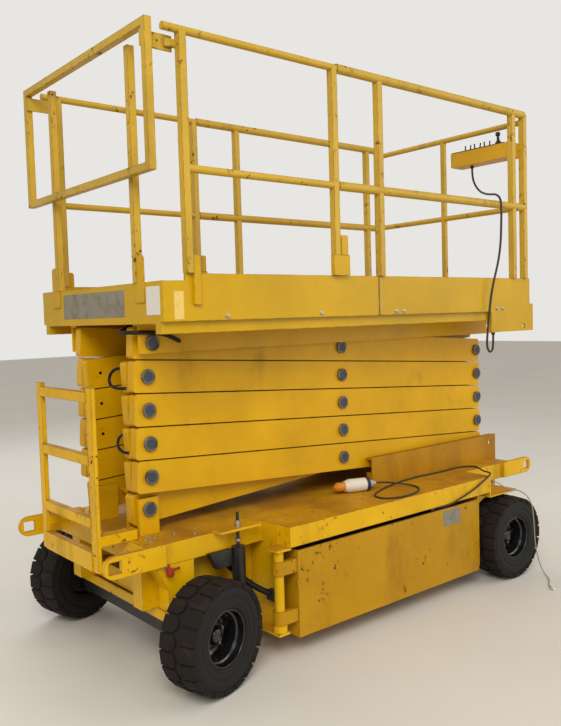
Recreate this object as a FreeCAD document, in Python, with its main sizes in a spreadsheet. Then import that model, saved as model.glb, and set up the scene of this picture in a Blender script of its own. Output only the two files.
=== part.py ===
import FreeCAD, Part
import math
import os
from types import SimpleNamespace

# Self-propelled scissor lift, folded and parked. Millimetres, +Z up, ground at z = 0.
# +X runs from the ladder end towards the platform's sliding end, and the near side is -Y.
# The origin is on the ground under the middle of the folded scissor pack.

driving = {
    # scissor pack
    "stages": 5, "pin_spread": 2265, "stage_pitch": 142.2, "arm_depth": 136, "arm_thick": 50,
    "left_overhang": 64, "right_overhang": 31, "arm_corner": 16, "pack_half": 270, "arm_gap": 10,
    "pin_radius": 24, "pin_head_radius": 31, "pin_head": 11, "pin_play": 0.4, "pivot_rise": 109,
    "tube_radius": 30, "tube_place": 280, "bracket_half": 48, "cheek_thick": 20, "cheek_gap": 12,
    # slide channels and rollers
    "channel_play": 5, "channel_wide": 35, "channel_wall": 8, "roller_radius": 35, "roller_play": 0.5,
    "roller_side_play": 1, "roller_run": 967.5, "channel_past": 122.5, "channel_rim": 12,
    "channel_hole_radius": 13, "channel_hole_inset": 60,
    # chassis
    "deck_top": 590, "sheet": 10, "skirt_drop": 90, "deck_half": 600, "wheel_bay": 180,
    "chassis_overhang": 117.5, "front_bay": 430, "rear_bay": 140, "beam_step": 90, "spine_wide": 80,
    "spine_bottom": 300, "spine_inset": 20, "cross_member": 60, "cross_member_tall": 80,
    "last_member_inset": 180, "bulkhead_bottom": 105, "bulkhead_gap": 110, "bulkhead_inset": 80,
    "guard_past": 100, "guard_drop": 120, "lug_half": 110, "lug_wide": 62, "lug_thick": 12,
    "tow_past": 200, "tow_hold": 80, "tow_plate": 18, "tow_height": 92, "tow_slot_tall": 48,
    "tow_slot_long": 55, "tow_slot_inset": 48, "tow_rise": 2, "leg_ahead": 77, "leg_flare": 56,
    "leg_slant": 107, "guard_bar": 44, "guard_flange": 32,
    # ladder
    "ladder_ahead": 135, "ladder_half": 250, "ladder_top": 1240, "ladder_bottom": 483, "stile_wide": 50,
    "stile_thick": 18, "rungs": 3, "rung_height": 42, "rung_pitch": 258, "rung_thick": 28, "rung_seat": 5,
    "foot_plate": 80, "ladder_arm_tall": 44, "ladder_arm_seat": 40,
    # wheels, axles and steering
    "wheel_radius": 228, "tyre_wide": 170, "tyre_shoulder": 22, "rim_radius": 116, "rim_wide": 150,
    "rim_wall": 7, "rim_disc_inset": 42, "hub_radius": 62, "hub_face": 14, "bead_play": 0.3,
    "tread_groove": 11, "lug_rows": 2, "lugs_per_row": 20, "lug_space": 8, "front_axle_inset": 170,
    "rear_axle_inset": 300, "rear_track_gap": 165, "kingpin_gap": 70, "kingpin_offset": 95,
    "kingpin_radius": 16, "boss_radius": 30, "boss_tall": 120, "yoke_gap": 4, "yoke_plate": 16,
    "yoke_half": 32, "yoke_web": 11, "yoke_web_gap": 6, "steer_parked": 15, "drum_radius": 96,
    "drum_gap": 5, "axle_beam": 100, "beam_inset": 75, "nose_half": 24, "nose_tall": 80,
    "stub_radius": 26, "hub_tube_radius": 72, "shaft_play": 0.3, "axle_pad": 60,
    # axle lock cylinders
    "lock_behind": 260, "lock_reach": 31, "lock_radius": 30, "lock_bottom": 334, "lock_top": 515,
    "stud_radius": 7, "stud_rise": 75, "lock_shelf": 12, "lock_shelf_half": 24, "lock_shelf_reach": 15,
    # side trays
    "tray_gap": 40, "tray_clear": 10, "tray_bottom": 90, "tray_top": 480, "tray_spine_gap": 20,
    "tray_sheet": 8, "tray_inset": 30, "post_ahead": 40, "post_inset": 35, "post_radius": 22,
    "sleeve_radius": 31, "sleeve_low": 165, "sleeve_high": 385, "sleeve_tall": 60, "sleeve_arm_inset": 2,
    "post_bottom": 132, "post_edge": 5, "load_end_gap": 40, "load_far_gap": 80, "load_side_gap": 20,
    "battery_tall": 330, "power_tall": 300,
    # lift cylinder
    "cylinder_start": 100, "eye_inset": 370, "barrel_radius": 55, "bore_radius": 44, "gland_rim": 5,
    "rod_radius": 30, "piston_gap": 14, "piston_long": 30, "eye_wide": 64, "rod_eye_radius": 40,
    "cylinder_pin": 20, "eye_play": 1.5, "rod_show": 120, "lug_gap": 2,
    # platform
    "platform_past": 87.5, "platform_half": 568, "floor_rise": 120, "floor_sheet": 12, "floor_step": 2,
    "fascia_below": 33, "fascia_above": 154, "end_fascia_above": 125, "fascia_sheet": 12,
    "floor_inset": 23, "floor_past": 47.5, "floor_beam": 40, "under_gap": 8, "under_past": 60,
    "rail_above": 1100, "mid_rail_above": 560, "rail_radius": 16, "sleeve_wall": 4, "rail_play": 1,
    "post_side": 32, "corner_inset": 120, "middle_gap": 280,
    # sliding part
    "extension_past": 122.5, "extension_long": 1275, "extension_gap": 6, "extension_sheet": 5,
    "extension_travel": 900, "rail_overlap": 110, "slide_pad": 60, "late_inset": 165, "end_inset": 55,
    "board_gap": 5, "hanger_inset": 375, "hanger_past": 33, "hanger_drop": 115, "hanger_hole_radius": 14,
    "end_bar_drop": 40, "end_middle_side": 26,
    # gate
    "gate_ahead": 30, "gate_bar": 30, "gate_above": 553, "hinge_inset": 70, "hinge_drop": 70,
    "gate_pin_radius": 7, "gate_pin_long": 27, "gate_plate": 6, "gate_plate_past": 24, "entry_half": 370,
    "entry_inset": 6, "entry_side": 30, "entry_drop": 44,
    # control box
    "box_lead": 5, "box_long": 400, "box_deep": 110, "box_tall": 84, "box_drop": 258, "box_bracket": 4,
    # loose leads and hoses
    "control_cable": 12, "charger_lead": 9, "thin_lead": 6, "hose": 28, "clip_long": 26, "clip_deep": 28,
    "clip_tall": 13, "clip_radius": 9, "gland_radius": 10, "hose_gland_side": 44, "hose_gland_deep": 30,
    "gland_long": 14, "shoulder_clip_long": 18, "plug_radius": 9, "plug_long": 34,
}

V = FreeCAD.Vector
UP = V(0, 0, 1)
ALONG = V(1, 0, 0)
ACROSS = V(0, 1, 0)
SIDES = (("near", -1), ("far", 1))

doc = FreeCAD.newDocument("ScissorLift")
sheet = doc.addObject("Spreadsheet::Sheet", "Sizes")
for row, (alias, value) in enumerate(driving.items(), start=1):
    sheet.set(f"A{row}", str(value))
    sheet.setAlias(f"A{row}", alias)
doc.recompute()


class Size(float):
    """A length that remembers how it follows from the sheet, so that objects can be bound to it."""

    def __new__(cls, value, source):
        size = super().__new__(cls, value)
        size.words = source
        return size

    def __add__(self, other):
        return Size(float(self) + float(other), f"({self.words} + {words(other)})")

    def __radd__(self, other):
        return Size(float(other) + float(self), f"({words(other)} + {self.words})")

    def __sub__(self, other):
        return Size(float(self) - float(other), f"({self.words} - {words(other)})")

    def __rsub__(self, other):
        return Size(float(other) - float(self), f"({words(other)} - {self.words})")

    def __mul__(self, other):
        return Size(float(self) * float(other), f"({self.words} * {words(other)})")

    def __rmul__(self, other):
        return Size(float(other) * float(self), f"({words(other)} * {self.words})")

    def __truediv__(self, other):
        return Size(float(self) / float(other), f"({self.words} / {words(other)})")

    def __neg__(self):
        return Size(-float(self), f"(0 - {self.words})")


def words(value):
    return value.words if isinstance(value, Size) else f"({float(value)!r})"


D = SimpleNamespace(**{alias: Size(sheet.get(alias), "Sizes." + alias) for alias in driving})

# the scissor's own triangle
stages = int(D.stages)
half_span = D.pin_spread / 2
arm_span = Size(math.hypot(D.pin_spread, D.stage_pitch),
                f"sqrt({D.pin_spread.words} ^ 2 + {D.stage_pitch.words} ^ 2)")
rest_angle = math.degrees(math.atan2(D.stage_pitch, D.pin_spread))
outer_inside = D.pack_half - D.arm_thick
inner_outside = outer_inside - D.arm_gap
inner_inside = inner_outside - D.arm_thick
pivot_height = D.deck_top + D.pivot_rise

# widths from the centre line
beam_half = D.deck_half - D.wheel_bay
spine_half = beam_half - D.beam_step
bulkhead_half = D.deck_half - D.bulkhead_inset
kingpin_half = beam_half + D.kingpin_gap
rear_track_half = beam_half + D.rear_track_gap
tray_back = spine_half + D.tray_spine_gap

# places along the chassis
chassis_end = half_span + D.chassis_overhang
front_axle = D.front_axle_inset - chassis_end
rear_axle = chassis_end - D.rear_axle_inset
bay_left = front_axle + D.front_bay
bay_right = rear_axle - D.rear_bay
bulkhead_right = bay_right - D.bulkhead_gap
lock_place = front_axle + D.lock_behind
post_place = bay_left - D.post_ahead
tray_left = bay_left + D.tray_gap
tray_right = bulkhead_right - D.tray_clear
axle_top = D.wheel_radius + D.axle_beam / 2
steer_turn = FreeCAD.Rotation(UP, D.steer_parked)

# the channels
channel_start = half_span - D.roller_run
channel_end = half_span + D.channel_past
channel_hole = channel_end - D.channel_hole_inset
channel_outside = D.pack_half + D.channel_play + D.channel_wide + D.channel_wall


def level(step):
    """Height of the pins between two stages, counted from the chassis pivot."""
    return pivot_height + D.stage_pitch * step


# heights and places on the platform
platform_floor = level(stages) + D.floor_rise
fascia_bottom = platform_floor - D.fascia_below
fascia_top = platform_floor + D.fascia_above
end_fascia_top = platform_floor + D.end_fascia_above
rail_top = platform_floor + D.rail_above
rail_height = rail_top - D.rail_radius
mid_rail = platform_floor + D.mid_rail_above
hinge_height = rail_top - D.hinge_drop
platform_left = -half_span - D.platform_past
main_floor_end = half_span + D.floor_past
corner_post = platform_left + D.corner_inset
gate_hinge = platform_left + D.hinge_inset
extension_end = half_span + D.extension_past
extension_start = extension_end - D.extension_long
middle_post = extension_start - D.middle_gap
late_post = extension_end - D.late_inset
end_post = extension_end - D.end_inset
board_end = extension_start - D.board_gap
hanger_bottom = fascia_bottom - D.hanger_drop


def bind(item, place, **sizes):
    """Tie an object's sizes and place to the sheet."""
    for name, size in sizes.items():
        item.setExpression(name, words(size))
    for name, size in zip("xyz", place):
        item.setExpression(f"Placement.Base.{name}", words(size))


def slab(name, x_range, y_range, z_range):
    """A block between two places on each axis."""
    block = doc.addObject("Part::Box", name)
    bind(block, (x_range[0], y_range[0], z_range[0]), Length=x_range[1] - x_range[0],
         Width=y_range[1] - y_range[0], Height=z_range[1] - z_range[0])
    return block


def rod(name, base, along, radius, length):
    """A round bar or bore from the centre of its first end."""
    bar = doc.addObject("Part::Cylinder", name)
    bar.Placement = FreeCAD.Placement(V(*base), FreeCAD.Rotation(UP, along))
    bind(bar, base, Radius=radius, Height=length)
    return bar


def across(name, y_range, x, z, radius):
    """A bar or bore along Y between two places."""
    return rod(name, (x, y_range[0], z), ACROSS, radius, y_range[1] - y_range[0])


def upright(name, x, y, z_range, radius):
    return rod(name, (x, y, z_range[0]), UP, radius, z_range[1] - z_range[0])


def drawn(name, outline, y_range):
    """A plate with a closed outline of places along X and heights, drawn out along Y."""
    line = doc.addObject("Part::Polygon", name + "_outline")
    line.Nodes = [V(x, y_range[0], z) for x, z in outline]
    line.Close = True
    plate = doc.addObject("Part::Extrusion", name)
    plate.Base = line
    plate.DirMode = "Custom"
    plate.Dir = ACROSS
    plate.Solid = True
    plate.setExpression("LengthFwd", words(y_range[1] - y_range[0]))
    return plate


def to_side(side, inner, outer):
    """The stretch between two distances from the centre line, on one side."""
    return (inner, outer) if side > 0 else (-outer, -inner)


def around(middle, half):
    return (middle - half, middle + half)


def ordered(first, second):
    return (first, second) if first < second else (second, first)


def join(name, pieces):
    fused = doc.addObject("Part::MultiFuse", name)
    fused.Shapes = pieces
    fused.Refine = True
    return fused


def carve(name, base, tools):
    cut = doc.addObject("Part::Cut", name)
    cut.Base = base
    cut.Tool = tools[0] if len(tools) == 1 else join(name + "_tool", tools)
    return cut


def gather(name, pieces):
    """Several solids that share one node."""
    group = doc.addObject("Part::Compound", name)
    group.Links = pieces
    return group


nodes = {}


def keep(node, item):
    item.Label = node
    nodes[node] = item
    return item


# chassis: a folded deck with side plates, wide between the wheels
def chassis_frame():
    t = D.sheet
    top = D.deck_top
    under = top - t
    skirt = top - D.skirt_drop
    low = top - D.guard_drop
    guard_end = rear_axle + D.guard_past
    pieces = [slab("wide_deck", (bay_left, bay_right), (-D.deck_half, D.deck_half), (under, top)),
              slab("narrow_deck", (-chassis_end, chassis_end), (-beam_half, beam_half), (under, top))]
    studs = []
    for word, side in SIDES:
        edge = to_side(side, D.deck_half - t, D.deck_half)
        beam = to_side(side, beam_half - t, beam_half)
        shoulder = to_side(side, beam_half - t, D.deck_half)
        pieces += [
            slab(f"skirt_{word}", (bay_left, bay_right), edge, (skirt, top)),
            slab(f"front_beam_{word}", (-chassis_end, bay_left), beam, (skirt, top)),
            slab(f"back_beam_{word}", (bay_right - t, chassis_end), beam, (skirt, top)),
            slab(f"front_bulkhead_{word}", (bay_left - t, bay_left),
                 to_side(side, spine_half, bulkhead_half), (D.bulkhead_bottom, top)),
            slab(f"back_bulkhead_{word}", (bulkhead_right, bulkhead_right + t),
                 to_side(side, spine_half, D.deck_half - t), (D.bulkhead_bottom, top)),
            slab(f"front_shoulder_{word}", (bay_left, bay_left + t), shoulder, (skirt, top)),
            slab(f"back_shoulder_{word}", (bay_right - t, bay_right), shoulder, (low, top)),
            slab(f"wheel_shelf_{word}", (bay_right - t, guard_end), shoulder, (low, low + t)),
            slab(f"shelf_web_{word}", (bay_right - t, guard_end), beam, (low, top)),
            slab(f"lock_lug_{word}", around(lock_place, D.lug_half),
                 to_side(side, beam_half - t, beam_half + D.lug_wide), (top, top + D.lug_thick))]
        studs.append(upright(f"stud_hole_{word}", lock_place, side * (beam_half + D.lock_reach),
                             (skirt, top + D.skirt_drop), D.stud_radius + D.shaft_play))
    for label, x in (("front", -chassis_end), ("back", chassis_end - t)):
        pieces.append(slab(f"end_plate_{label}", (x, x + t), (-beam_half, beam_half), (skirt, top)))
    return keep("chassis_frame", carve("chassis_frame", join("chassis_blank", pieces), studs))


# two long beams under the deck, tied by cross members
def chassis_spines():
    height = (D.spine_bottom, D.deck_top - D.sheet)
    x_range = (D.spine_inset - chassis_end, chassis_end - D.spine_inset)
    pieces = [slab(f"spine_{word}", x_range, to_side(side, spine_half - D.spine_wide, spine_half), height)
              for word, side in SIDES]
    for label, x in (("front", front_axle - D.cross_member - D.sheet), ("middle", bay_left - D.sheet),
                     ("late", bulkhead_right), ("back", chassis_end - D.last_member_inset)):
        pieces.append(slab(f"cross_member_{label}", (x, x + D.cross_member), (-spine_half, spine_half),
                           (D.spine_bottom, D.spine_bottom + D.cross_member_tall)))
    return keep("chassis_spines", join("chassis_spines", pieces))


# tow plates with a long eye, welded on the beams and past both ends
def tow_plates():
    low = D.deck_top - D.skirt_drop + D.tow_rise
    half = D.tow_height / 2
    root = chassis_end - D.tow_hold
    reach = chassis_end + D.tow_past
    plates = []
    for word, side in SIDES:
        y = to_side(side, beam_half, beam_half + D.tow_plate)
        through = around(side * beam_half, D.tow_plate * 2)
        for label, end in (("front", -1), ("back", 1)):
            tip = end * (reach - half)
            plate = slab(f"tow_bar_{label}_{word}", ordered(tip, end * root), y, (low, low + D.tow_height))
            nose = across(f"tow_nose_{label}_{word}", y, tip, low + half, half)
            slot = around(end * (reach - D.tow_slot_inset), D.tow_slot_long / 2)
            eye = slab(f"tow_eye_{label}_{word}", slot, through, around(low + half, D.tow_slot_tall / 2))
            blank = join(f"tow_blank_{label}_{word}", [plate, nose])
            plates.append(carve(f"tow_{label}_{word}", blank, [eye]))
    return keep("tow_plates", gather("tow_plates", plates))


# flared legs on the front axle's ends, with an angle bar across them
def front_guard():
    front = front_axle - D.leg_ahead
    back = front_axle + D.axle_beam / 2
    top = D.deck_top - D.skirt_drop
    flare = [(front, axle_top), (front, top - D.leg_slant), (front - D.leg_flare, top), (back, top),
             (back, axle_top)]
    pieces = [drawn(f"leg_{word}", flare, to_side(side, spine_half, beam_half)) for word, side in SIDES]
    low = D.spine_bottom - D.guard_bar
    whole = (-beam_half, beam_half)
    pieces.append(slab("guard_web", (front - D.sheet, front), whole, (low, D.spine_bottom)))
    pieces.append(slab("guard_flange", (front - D.sheet, front - D.sheet + D.guard_flange), whole,
                       (low, low + D.sheet)))
    return keep("front_guard", join("front_guard", pieces))


# ladder on two arms that rest on the deck
def ladder():
    x = -chassis_end - D.ladder_ahead
    inside = D.ladder_half - D.stile_wide / 2 + D.rung_seat
    rung_x = around(x, D.rung_thick / 2)
    pieces = []
    for word, side in SIDES:
        y = around(side * D.ladder_half, D.stile_wide / 2)
        pieces.append(slab(f"stile_{word}", around(x, D.stile_thick / 2), y, (D.ladder_bottom, D.ladder_top)))
        pieces.append(slab(f"ladder_arm_{word}", (x, D.ladder_arm_seat - chassis_end), y,
                           (D.deck_top, D.deck_top + D.ladder_arm_tall)))
    for step in range(int(D.rungs)):
        top = D.ladder_top - D.stile_thick - D.rung_pitch * step
        pieces.append(slab(f"rung_{step}", rung_x, (-inside, inside), (top - D.rung_height, top)))
    foot = (D.ladder_bottom, D.ladder_bottom + D.foot_plate)
    pieces.append(slab("ladder_foot", rung_x, (-inside, inside), foot))
    return keep("ladder", join("ladder", pieces))


# channels that hold the sliding ends of the scissor
def channel(name, side, height, x_range, z_range):
    inner = D.pack_half + D.channel_play
    web = to_side(side, channel_outside - D.channel_wall, channel_outside)
    pieces = [slab(name + "_web", x_range, web, z_range)]
    reach = D.roller_radius + D.roller_play
    for label, z in (("lower", height - reach - D.channel_wall), ("upper", height + reach)):
        pieces.append(slab(f"{name}_{label}", (channel_start, channel_end),
                           to_side(side, inner, channel_outside - D.channel_wall), (z, z + D.channel_wall)))
    return pieces


def through_web(name, side, x, z, radius):
    return across(name, around(side * channel_outside, D.channel_wide / 2), x, z, radius)


def chassis_slides():
    height = pivot_height
    x_range = (channel_start, channel_end)
    sides = []
    for word, side in SIDES:
        pieces = channel(f"slide_{word}", side, height, x_range,
                         (D.deck_top, height + D.roller_radius + D.channel_rim))
        pieces.append(slab(f"slide_foot_{word}", x_range,
                           to_side(side, D.pack_half + D.channel_play, channel_outside),
                           (D.deck_top, height - D.roller_radius - D.roller_play)))
        hole = through_web(f"slide_hole_{word}", side, channel_hole, height, D.channel_hole_radius)
        sides.append(carve(f"slide_rail_{word}", join(f"slide_blank_{word}", pieces), [hole]))
    return keep("chassis_slides", gather("chassis_slides", sides))


# forked brackets and pins of the lower left pivots
def base_brackets():
    inside = inner_inside - D.cheek_gap - D.cheek_thick
    outside = inner_outside + D.cheek_gap + D.cheek_thick
    x_range = around(-half_span, D.bracket_half)
    height = (D.deck_top, pivot_height + D.bracket_half)
    brackets, pins = [], []
    for word, side in SIDES:
        pieces = [slab(f"cheek_out_{word}", x_range, to_side(side, outside - D.cheek_thick, outside), height),
                  slab(f"cheek_in_{word}", x_range, to_side(side, inside, inside + D.cheek_thick), height),
                  slab(f"bracket_foot_{word}", x_range, to_side(side, inside, outside),
                       (D.deck_top, D.deck_top + D.sheet))]
        bore = across(f"bracket_bore_{word}", to_side(side, inside - D.sheet, outside + D.sheet), -half_span,
                      pivot_height, D.pin_radius + D.pin_play)
        brackets.append(carve(f"bracket_{word}", join(f"bracket_blank_{word}", pieces), [bore]))
        pins.append(headed_pin(f"base_{word}", side, -half_span, pivot_height, inside, outside))
    keep("base_brackets", gather("base_brackets", brackets))
    keep("base_pins", gather("base_pins", pins))


def headed_pin(name, side, x, z, inner, outer):
    """A pin from the inside out, with a wider head outside."""
    return join(f"pin_{name}", [across(f"shank_{name}", to_side(side, inner, outer), x, z, D.pin_radius),
                                across(f"head_{name}", to_side(side, outer, outer + D.pin_head), x, z,
                                       D.pin_head_radius)])


# one scissor bar with rounded corners and three bores, laid out along X and then tilted
def scissor_bar(name, y_range, anchor, tilt):
    turn = FreeCAD.Rotation(ACROSS, tilt)
    web = doc.addObject("Part::Box", name + "_web")
    bind(web, (-D.left_overhang, 0, -D.arm_depth / 2), Length=arm_span + D.left_overhang + D.right_overhang,
         Width=D.arm_thick, Height=D.arm_depth)
    web.recompute()
    blank = doc.addObject("Part::Fillet", name + "_blank")
    blank.Base = web
    blank.Edges = [(number, D.arm_corner, D.arm_corner)
                   for number, edge in enumerate(web.Shape.Edges, start=1)
                   if edge.tangentAt(edge.FirstParameter).isParallel(ACROSS, math.radians(1))]
    bores = [rod(f"{name}_bore_{count}", (x, -D.arm_gap, 0), ACROSS, D.pin_radius + D.pin_play,
                 D.arm_thick + D.arm_gap * 2)
             for count, x in enumerate((0, arm_span / 2, arm_span))]
    bar = carve(name, blank, bores)
    bar.Placement = FreeCAD.Placement(V(anchor[0], y_range[0], anchor[1]), turn)
    bind(bar, (anchor[0], y_range[0], anchor[1]))
    return bar


def arm_point(stage, along):
    """A point on the centre line of an inner arm, from its lower left pin."""
    share = along / arm_span
    return (share * D.pin_spread - half_span, level(stage - 1) + share * D.stage_pitch)


def inner_arm(stage):
    """Two bars from lower left to upper right, joined by cross tubes."""
    name = f"inner_arm_{stage}"
    pieces = [scissor_bar(f"{name}_{word}", to_side(side, inner_inside, inner_outside),
                          (-half_span, level(stage - 1)), -rest_angle) for word, side in SIDES]
    eye_place = arm_span - D.eye_inset
    tubes = {1: [arm_span - D.tube_place], 2: [D.tube_place, eye_place + D.tube_place / 2]}
    for count, along in enumerate(tubes.get(stage, [D.tube_place, arm_span - D.tube_place])):
        x, z = arm_point(stage, along)
        pieces.append(across(f"{name}_tube_{count}", (-inner_inside, inner_inside), x, z, D.tube_radius))
    if stage == 1:
        x, z = arm_point(stage, D.cylinder_start)
        pieces.append(across(f"{name}_shaft", (-inner_inside, inner_inside), x, z, D.cylinder_pin))
    if stage == 2:
        x, z = arm_point(stage, eye_place)
        pieces.append(across(f"{name}_eye_pin", (-D.eye_wide, D.eye_wide), x, z, D.cylinder_pin))
        for word, side in SIDES:
            inner = D.eye_wide / 2 + D.lug_gap
            pieces.append(eye_lug(f"{name}_lug_{word}", to_side(side, inner, inner + D.cheek_thick),
                                  arm_point(stage, eye_place)))
    return keep(name, join(name, pieces))


def eye_lug(name, y_range, place):
    """A plate with a round end that ties the cylinder's pin to the cross tube beside it."""
    plate = doc.addObject("Part::Box", name + "_plate")
    bind(plate, (0, 0, -D.tube_radius), Length=D.tube_place / 2, Width=D.cheek_thick,
         Height=D.tube_radius * 2)
    end = rod(name + "_end", (0, 0, 0), ACROSS, D.tube_radius, D.cheek_thick)
    lug = join(name, [plate, end])
    turn = FreeCAD.Rotation(ACROSS, -rest_angle)
    lug.Placement = FreeCAD.Placement(V(place[0], y_range[0], place[1]), turn)
    bind(lug, (place[0], y_range[0], place[1]))
    return lug


def outer_arm(stage):
    """Two bars from upper left to lower right."""
    name = f"outer_arm_{stage}"
    upper_left = (-half_span, level(stage))
    bars = [scissor_bar(f"{name}_{word}", to_side(side, outer_inside, D.pack_half), upper_left, rest_angle)
            for word, side in SIDES]
    return keep(name, gather(name, bars))


def arm_pins(stage):
    """Pins that an outer arm carries at its middle and at its ends."""
    name = f"pins_{stage}"
    places = [("middle", 0, level(stage - 0.5))]
    if stage > 1:
        places.append(("right", half_span, level(stage - 1)))
    if stage < stages:
        places.append(("left", -half_span, level(stage)))
    pieces = [headed_pin(f"{stage}_{label}_{word}", side, x, z, inner_inside, D.pack_half)
              for label, x, z in places for word, side in SIDES]
    if stage == 1:
        pieces += [roller(f"lower_{word}", side, level(0), outer_inside) for word, side in SIDES]
    return keep(name, gather(name, pieces))


def roller(name, side, height, inner):
    """A guide roller on its shaft, inside a channel."""
    start = D.pack_half + D.channel_play
    wheel = to_side(side, start + D.roller_side_play, channel_outside - D.channel_wall - D.roller_side_play)
    shaft = to_side(side, inner, start + D.roller_side_play * 2)
    return join(f"roller_{name}", [
        across(f"roller_shaft_{name}", shaft, half_span, height, D.pin_radius),
        across(f"roller_wheel_{name}", wheel, half_span, height, D.roller_radius)])


def top_rollers():
    return keep("top_rollers", gather("top_rollers", [
        roller(f"upper_{word}", side, level(stages), inner_inside) for word, side in SIDES]))


# lift cylinder between the lowest inner arm and the one above it
cylinder_from = arm_point(1, D.cylinder_start)
cylinder_to = arm_point(2, arm_span - D.eye_inset)
cylinder_length = math.dist(cylinder_from, cylinder_to)
cylinder_line = V(cylinder_to[0] - cylinder_from[0], 0, cylinder_to[1] - cylinder_from[1]).normalize()
bore_start = D.barrel_radius * 2 - D.bore_radius
piston_start = bore_start + D.piston_gap


def on_cylinder(distance):
    return tuple(V(cylinder_from[0], 0, cylinder_from[1]) + cylinder_line * distance)


def lift_barrel():
    length = cylinder_length - D.rod_show
    half = D.eye_wide / 2
    tube = rod("barrel_tube", on_cylinder(D.cylinder_pin), cylinder_line, D.barrel_radius,
               length - D.cylinder_pin)
    gland = rod("barrel_gland", on_cylinder(length - D.eye_wide), cylinder_line,
                D.barrel_radius + D.gland_rim, D.eye_wide)
    eye = across("barrel_eye", (-half, half), *cylinder_from, D.barrel_radius)
    hollow = rod("barrel_bore", on_cylinder(bore_start), cylinder_line, D.bore_radius,
                 length - half - bore_start)
    mouth = rod("barrel_mouth", on_cylinder(length - D.eye_wide), cylinder_line, D.rod_radius + D.shaft_play,
                D.eye_wide * 2)
    bore = across("barrel_pin_bore", (-D.eye_wide, D.eye_wide), *cylinder_from, D.cylinder_pin + D.shaft_play)
    blank = join("barrel_blank", [tube, gland, eye])
    return keep("lift_barrel", carve("lift_barrel", blank, [hollow, mouth, bore]))


def lift_rod():
    half = D.eye_wide / 2
    seat = piston_start + D.piston_long / 2
    stem = rod("rod_stem", on_cylinder(seat), cylinder_line, D.rod_radius, cylinder_length - seat)
    piston = rod("rod_piston", on_cylinder(piston_start), cylinder_line, D.bore_radius - D.shaft_play,
                 D.piston_long)
    eye = across("rod_eye", (-half, half), *cylinder_to, D.rod_eye_radius)
    bore = across("rod_pin_bore", (-D.eye_wide, D.eye_wide), *cylinder_to, D.cylinder_pin + D.eye_play)
    return keep("lift_rod", carve("lift_rod", join("rod_blank", [stem, piston, eye]), [bore]))


# wheels: a lugged tyre on a deep rim, made upright about Y and then put in place
def spin(outline):
    points = [V(radius, y, 0) for radius, y in outline]
    return Part.Face(Part.makePolygon(points + [points[0]])).revolve(V(0, 0, 0), ACROSS, 360)


def facets(outline, sides, phase):
    """A closed outline of radius and place across, carried round the axle in flat steps."""
    step = 2 * math.pi / sides
    reach = 1 / math.cos(step / 2)
    turns = [math.radians(phase) + step * (count - 0.5) for count in range(sides + 1)]
    rings = [[V(radius * reach * math.sin(turn), y, radius * reach * math.cos(turn)) for turn in turns]
             for radius, y in outline]
    faces = []
    for ring, after in zip(rings, rings[1:] + rings[:1]):
        for count in range(sides):
            corners = [ring[count], ring[count + 1], after[count + 1], after[count]]
            faces.append(Part.Face(Part.makePolygon(corners + corners[:1])))
    shell = Part.makeShell(faces)
    shell.sewShape()
    solid = Part.makeSolid(shell)
    if solid.Volume < 0:
        solid.reverse()
    return solid


def tyre_shape():
    """Flat-sided carcass under two staggered rows of lugs; the lugs' corners lie on the wheel's radius."""
    half = D.tyre_wide / 2
    bead = D.rim_radius + D.bead_play
    base = D.wheel_radius - D.tread_groove
    shoulder = D.tyre_shoulder
    rows = int(D.lug_rows)
    count = int(D.lugs_per_row)
    long = 2 * math.pi * base / count - D.lug_space
    wide = (D.tyre_wide - D.lug_space * (rows - 1)) / rows
    top = math.sqrt(D.wheel_radius ** 2 - (long / 2) ** 2)
    root = base - shoulder
    phase = math.degrees(math.asin(long / 2 / D.wheel_radius))
    carcass = facets([(bead, shoulder - half), (root, -half), (base, shoulder - half),
                      (base, half - shoulder), (root, half), (bead, half - shoulder)], count * rows, phase)
    lugs = []
    for row in range(rows):
        for step in range(count):
            lug = Part.makeBox(long, wide, top - root, V(-long / 2, (wide + D.lug_space) * row - half, root))
            lug.rotate(V(0, 0, 0), ACROSS, phase + 360 / count * (step + row / rows))
            lugs.append(lug)
    return carcass.fuse(lugs).removeSplitter()


def rim_shape(outward):
    """Rim barrel with a disc near its inner edge; its dish opens outward."""
    half = D.rim_wide / 2
    r = D.rim_radius
    wall = D.rim_wall
    disc = D.rim_disc_inset - half
    bore = D.stub_radius + D.shaft_play
    outline = [(r, -half), (r, half), (r - wall, half), (r - wall, disc + wall),
               (D.hub_radius, disc + wall), (D.hub_radius, D.hub_face), (bore, D.hub_face), (bore, disc),
               (r - wall, disc), (r - wall, -half)]
    return spin([(radius, y * outward) for radius, y in outline])


def wheel_place(end, side):
    if end == "rear":
        return FreeCAD.Placement(V(rear_axle, side * rear_track_half, D.wheel_radius), FreeCAD.Rotation())
    offset = steer_turn.multVec(V(0, side * D.kingpin_offset, 0))
    return FreeCAD.Placement(V(front_axle, side * kingpin_half, D.wheel_radius) + offset, steer_turn)


def wheels():
    tyre = tyre_shape()
    for end in ("front", "rear"):
        for word, side in SIDES:
            for kind, shape in (("tyre", tyre), ("rim", rim_shape(side))):
                feature = doc.addObject("Part::Feature", f"{kind}_{end}_{word}")
                feature.Shape = shape
                feature.Placement = wheel_place(end, side)
                keep(f"{kind}_{end}_{word}", feature)


# axles and knuckles
def axle_pads(name, x):
    half = D.axle_beam / 2
    inner = spine_half - D.spine_wide + (D.spine_wide - D.axle_pad) / 2
    return [slab(f"{name}_pad_{word}", around(x, half), to_side(side, inner, inner + D.axle_pad),
                 (axle_top, D.spine_bottom)) for word, side in SIDES]


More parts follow.
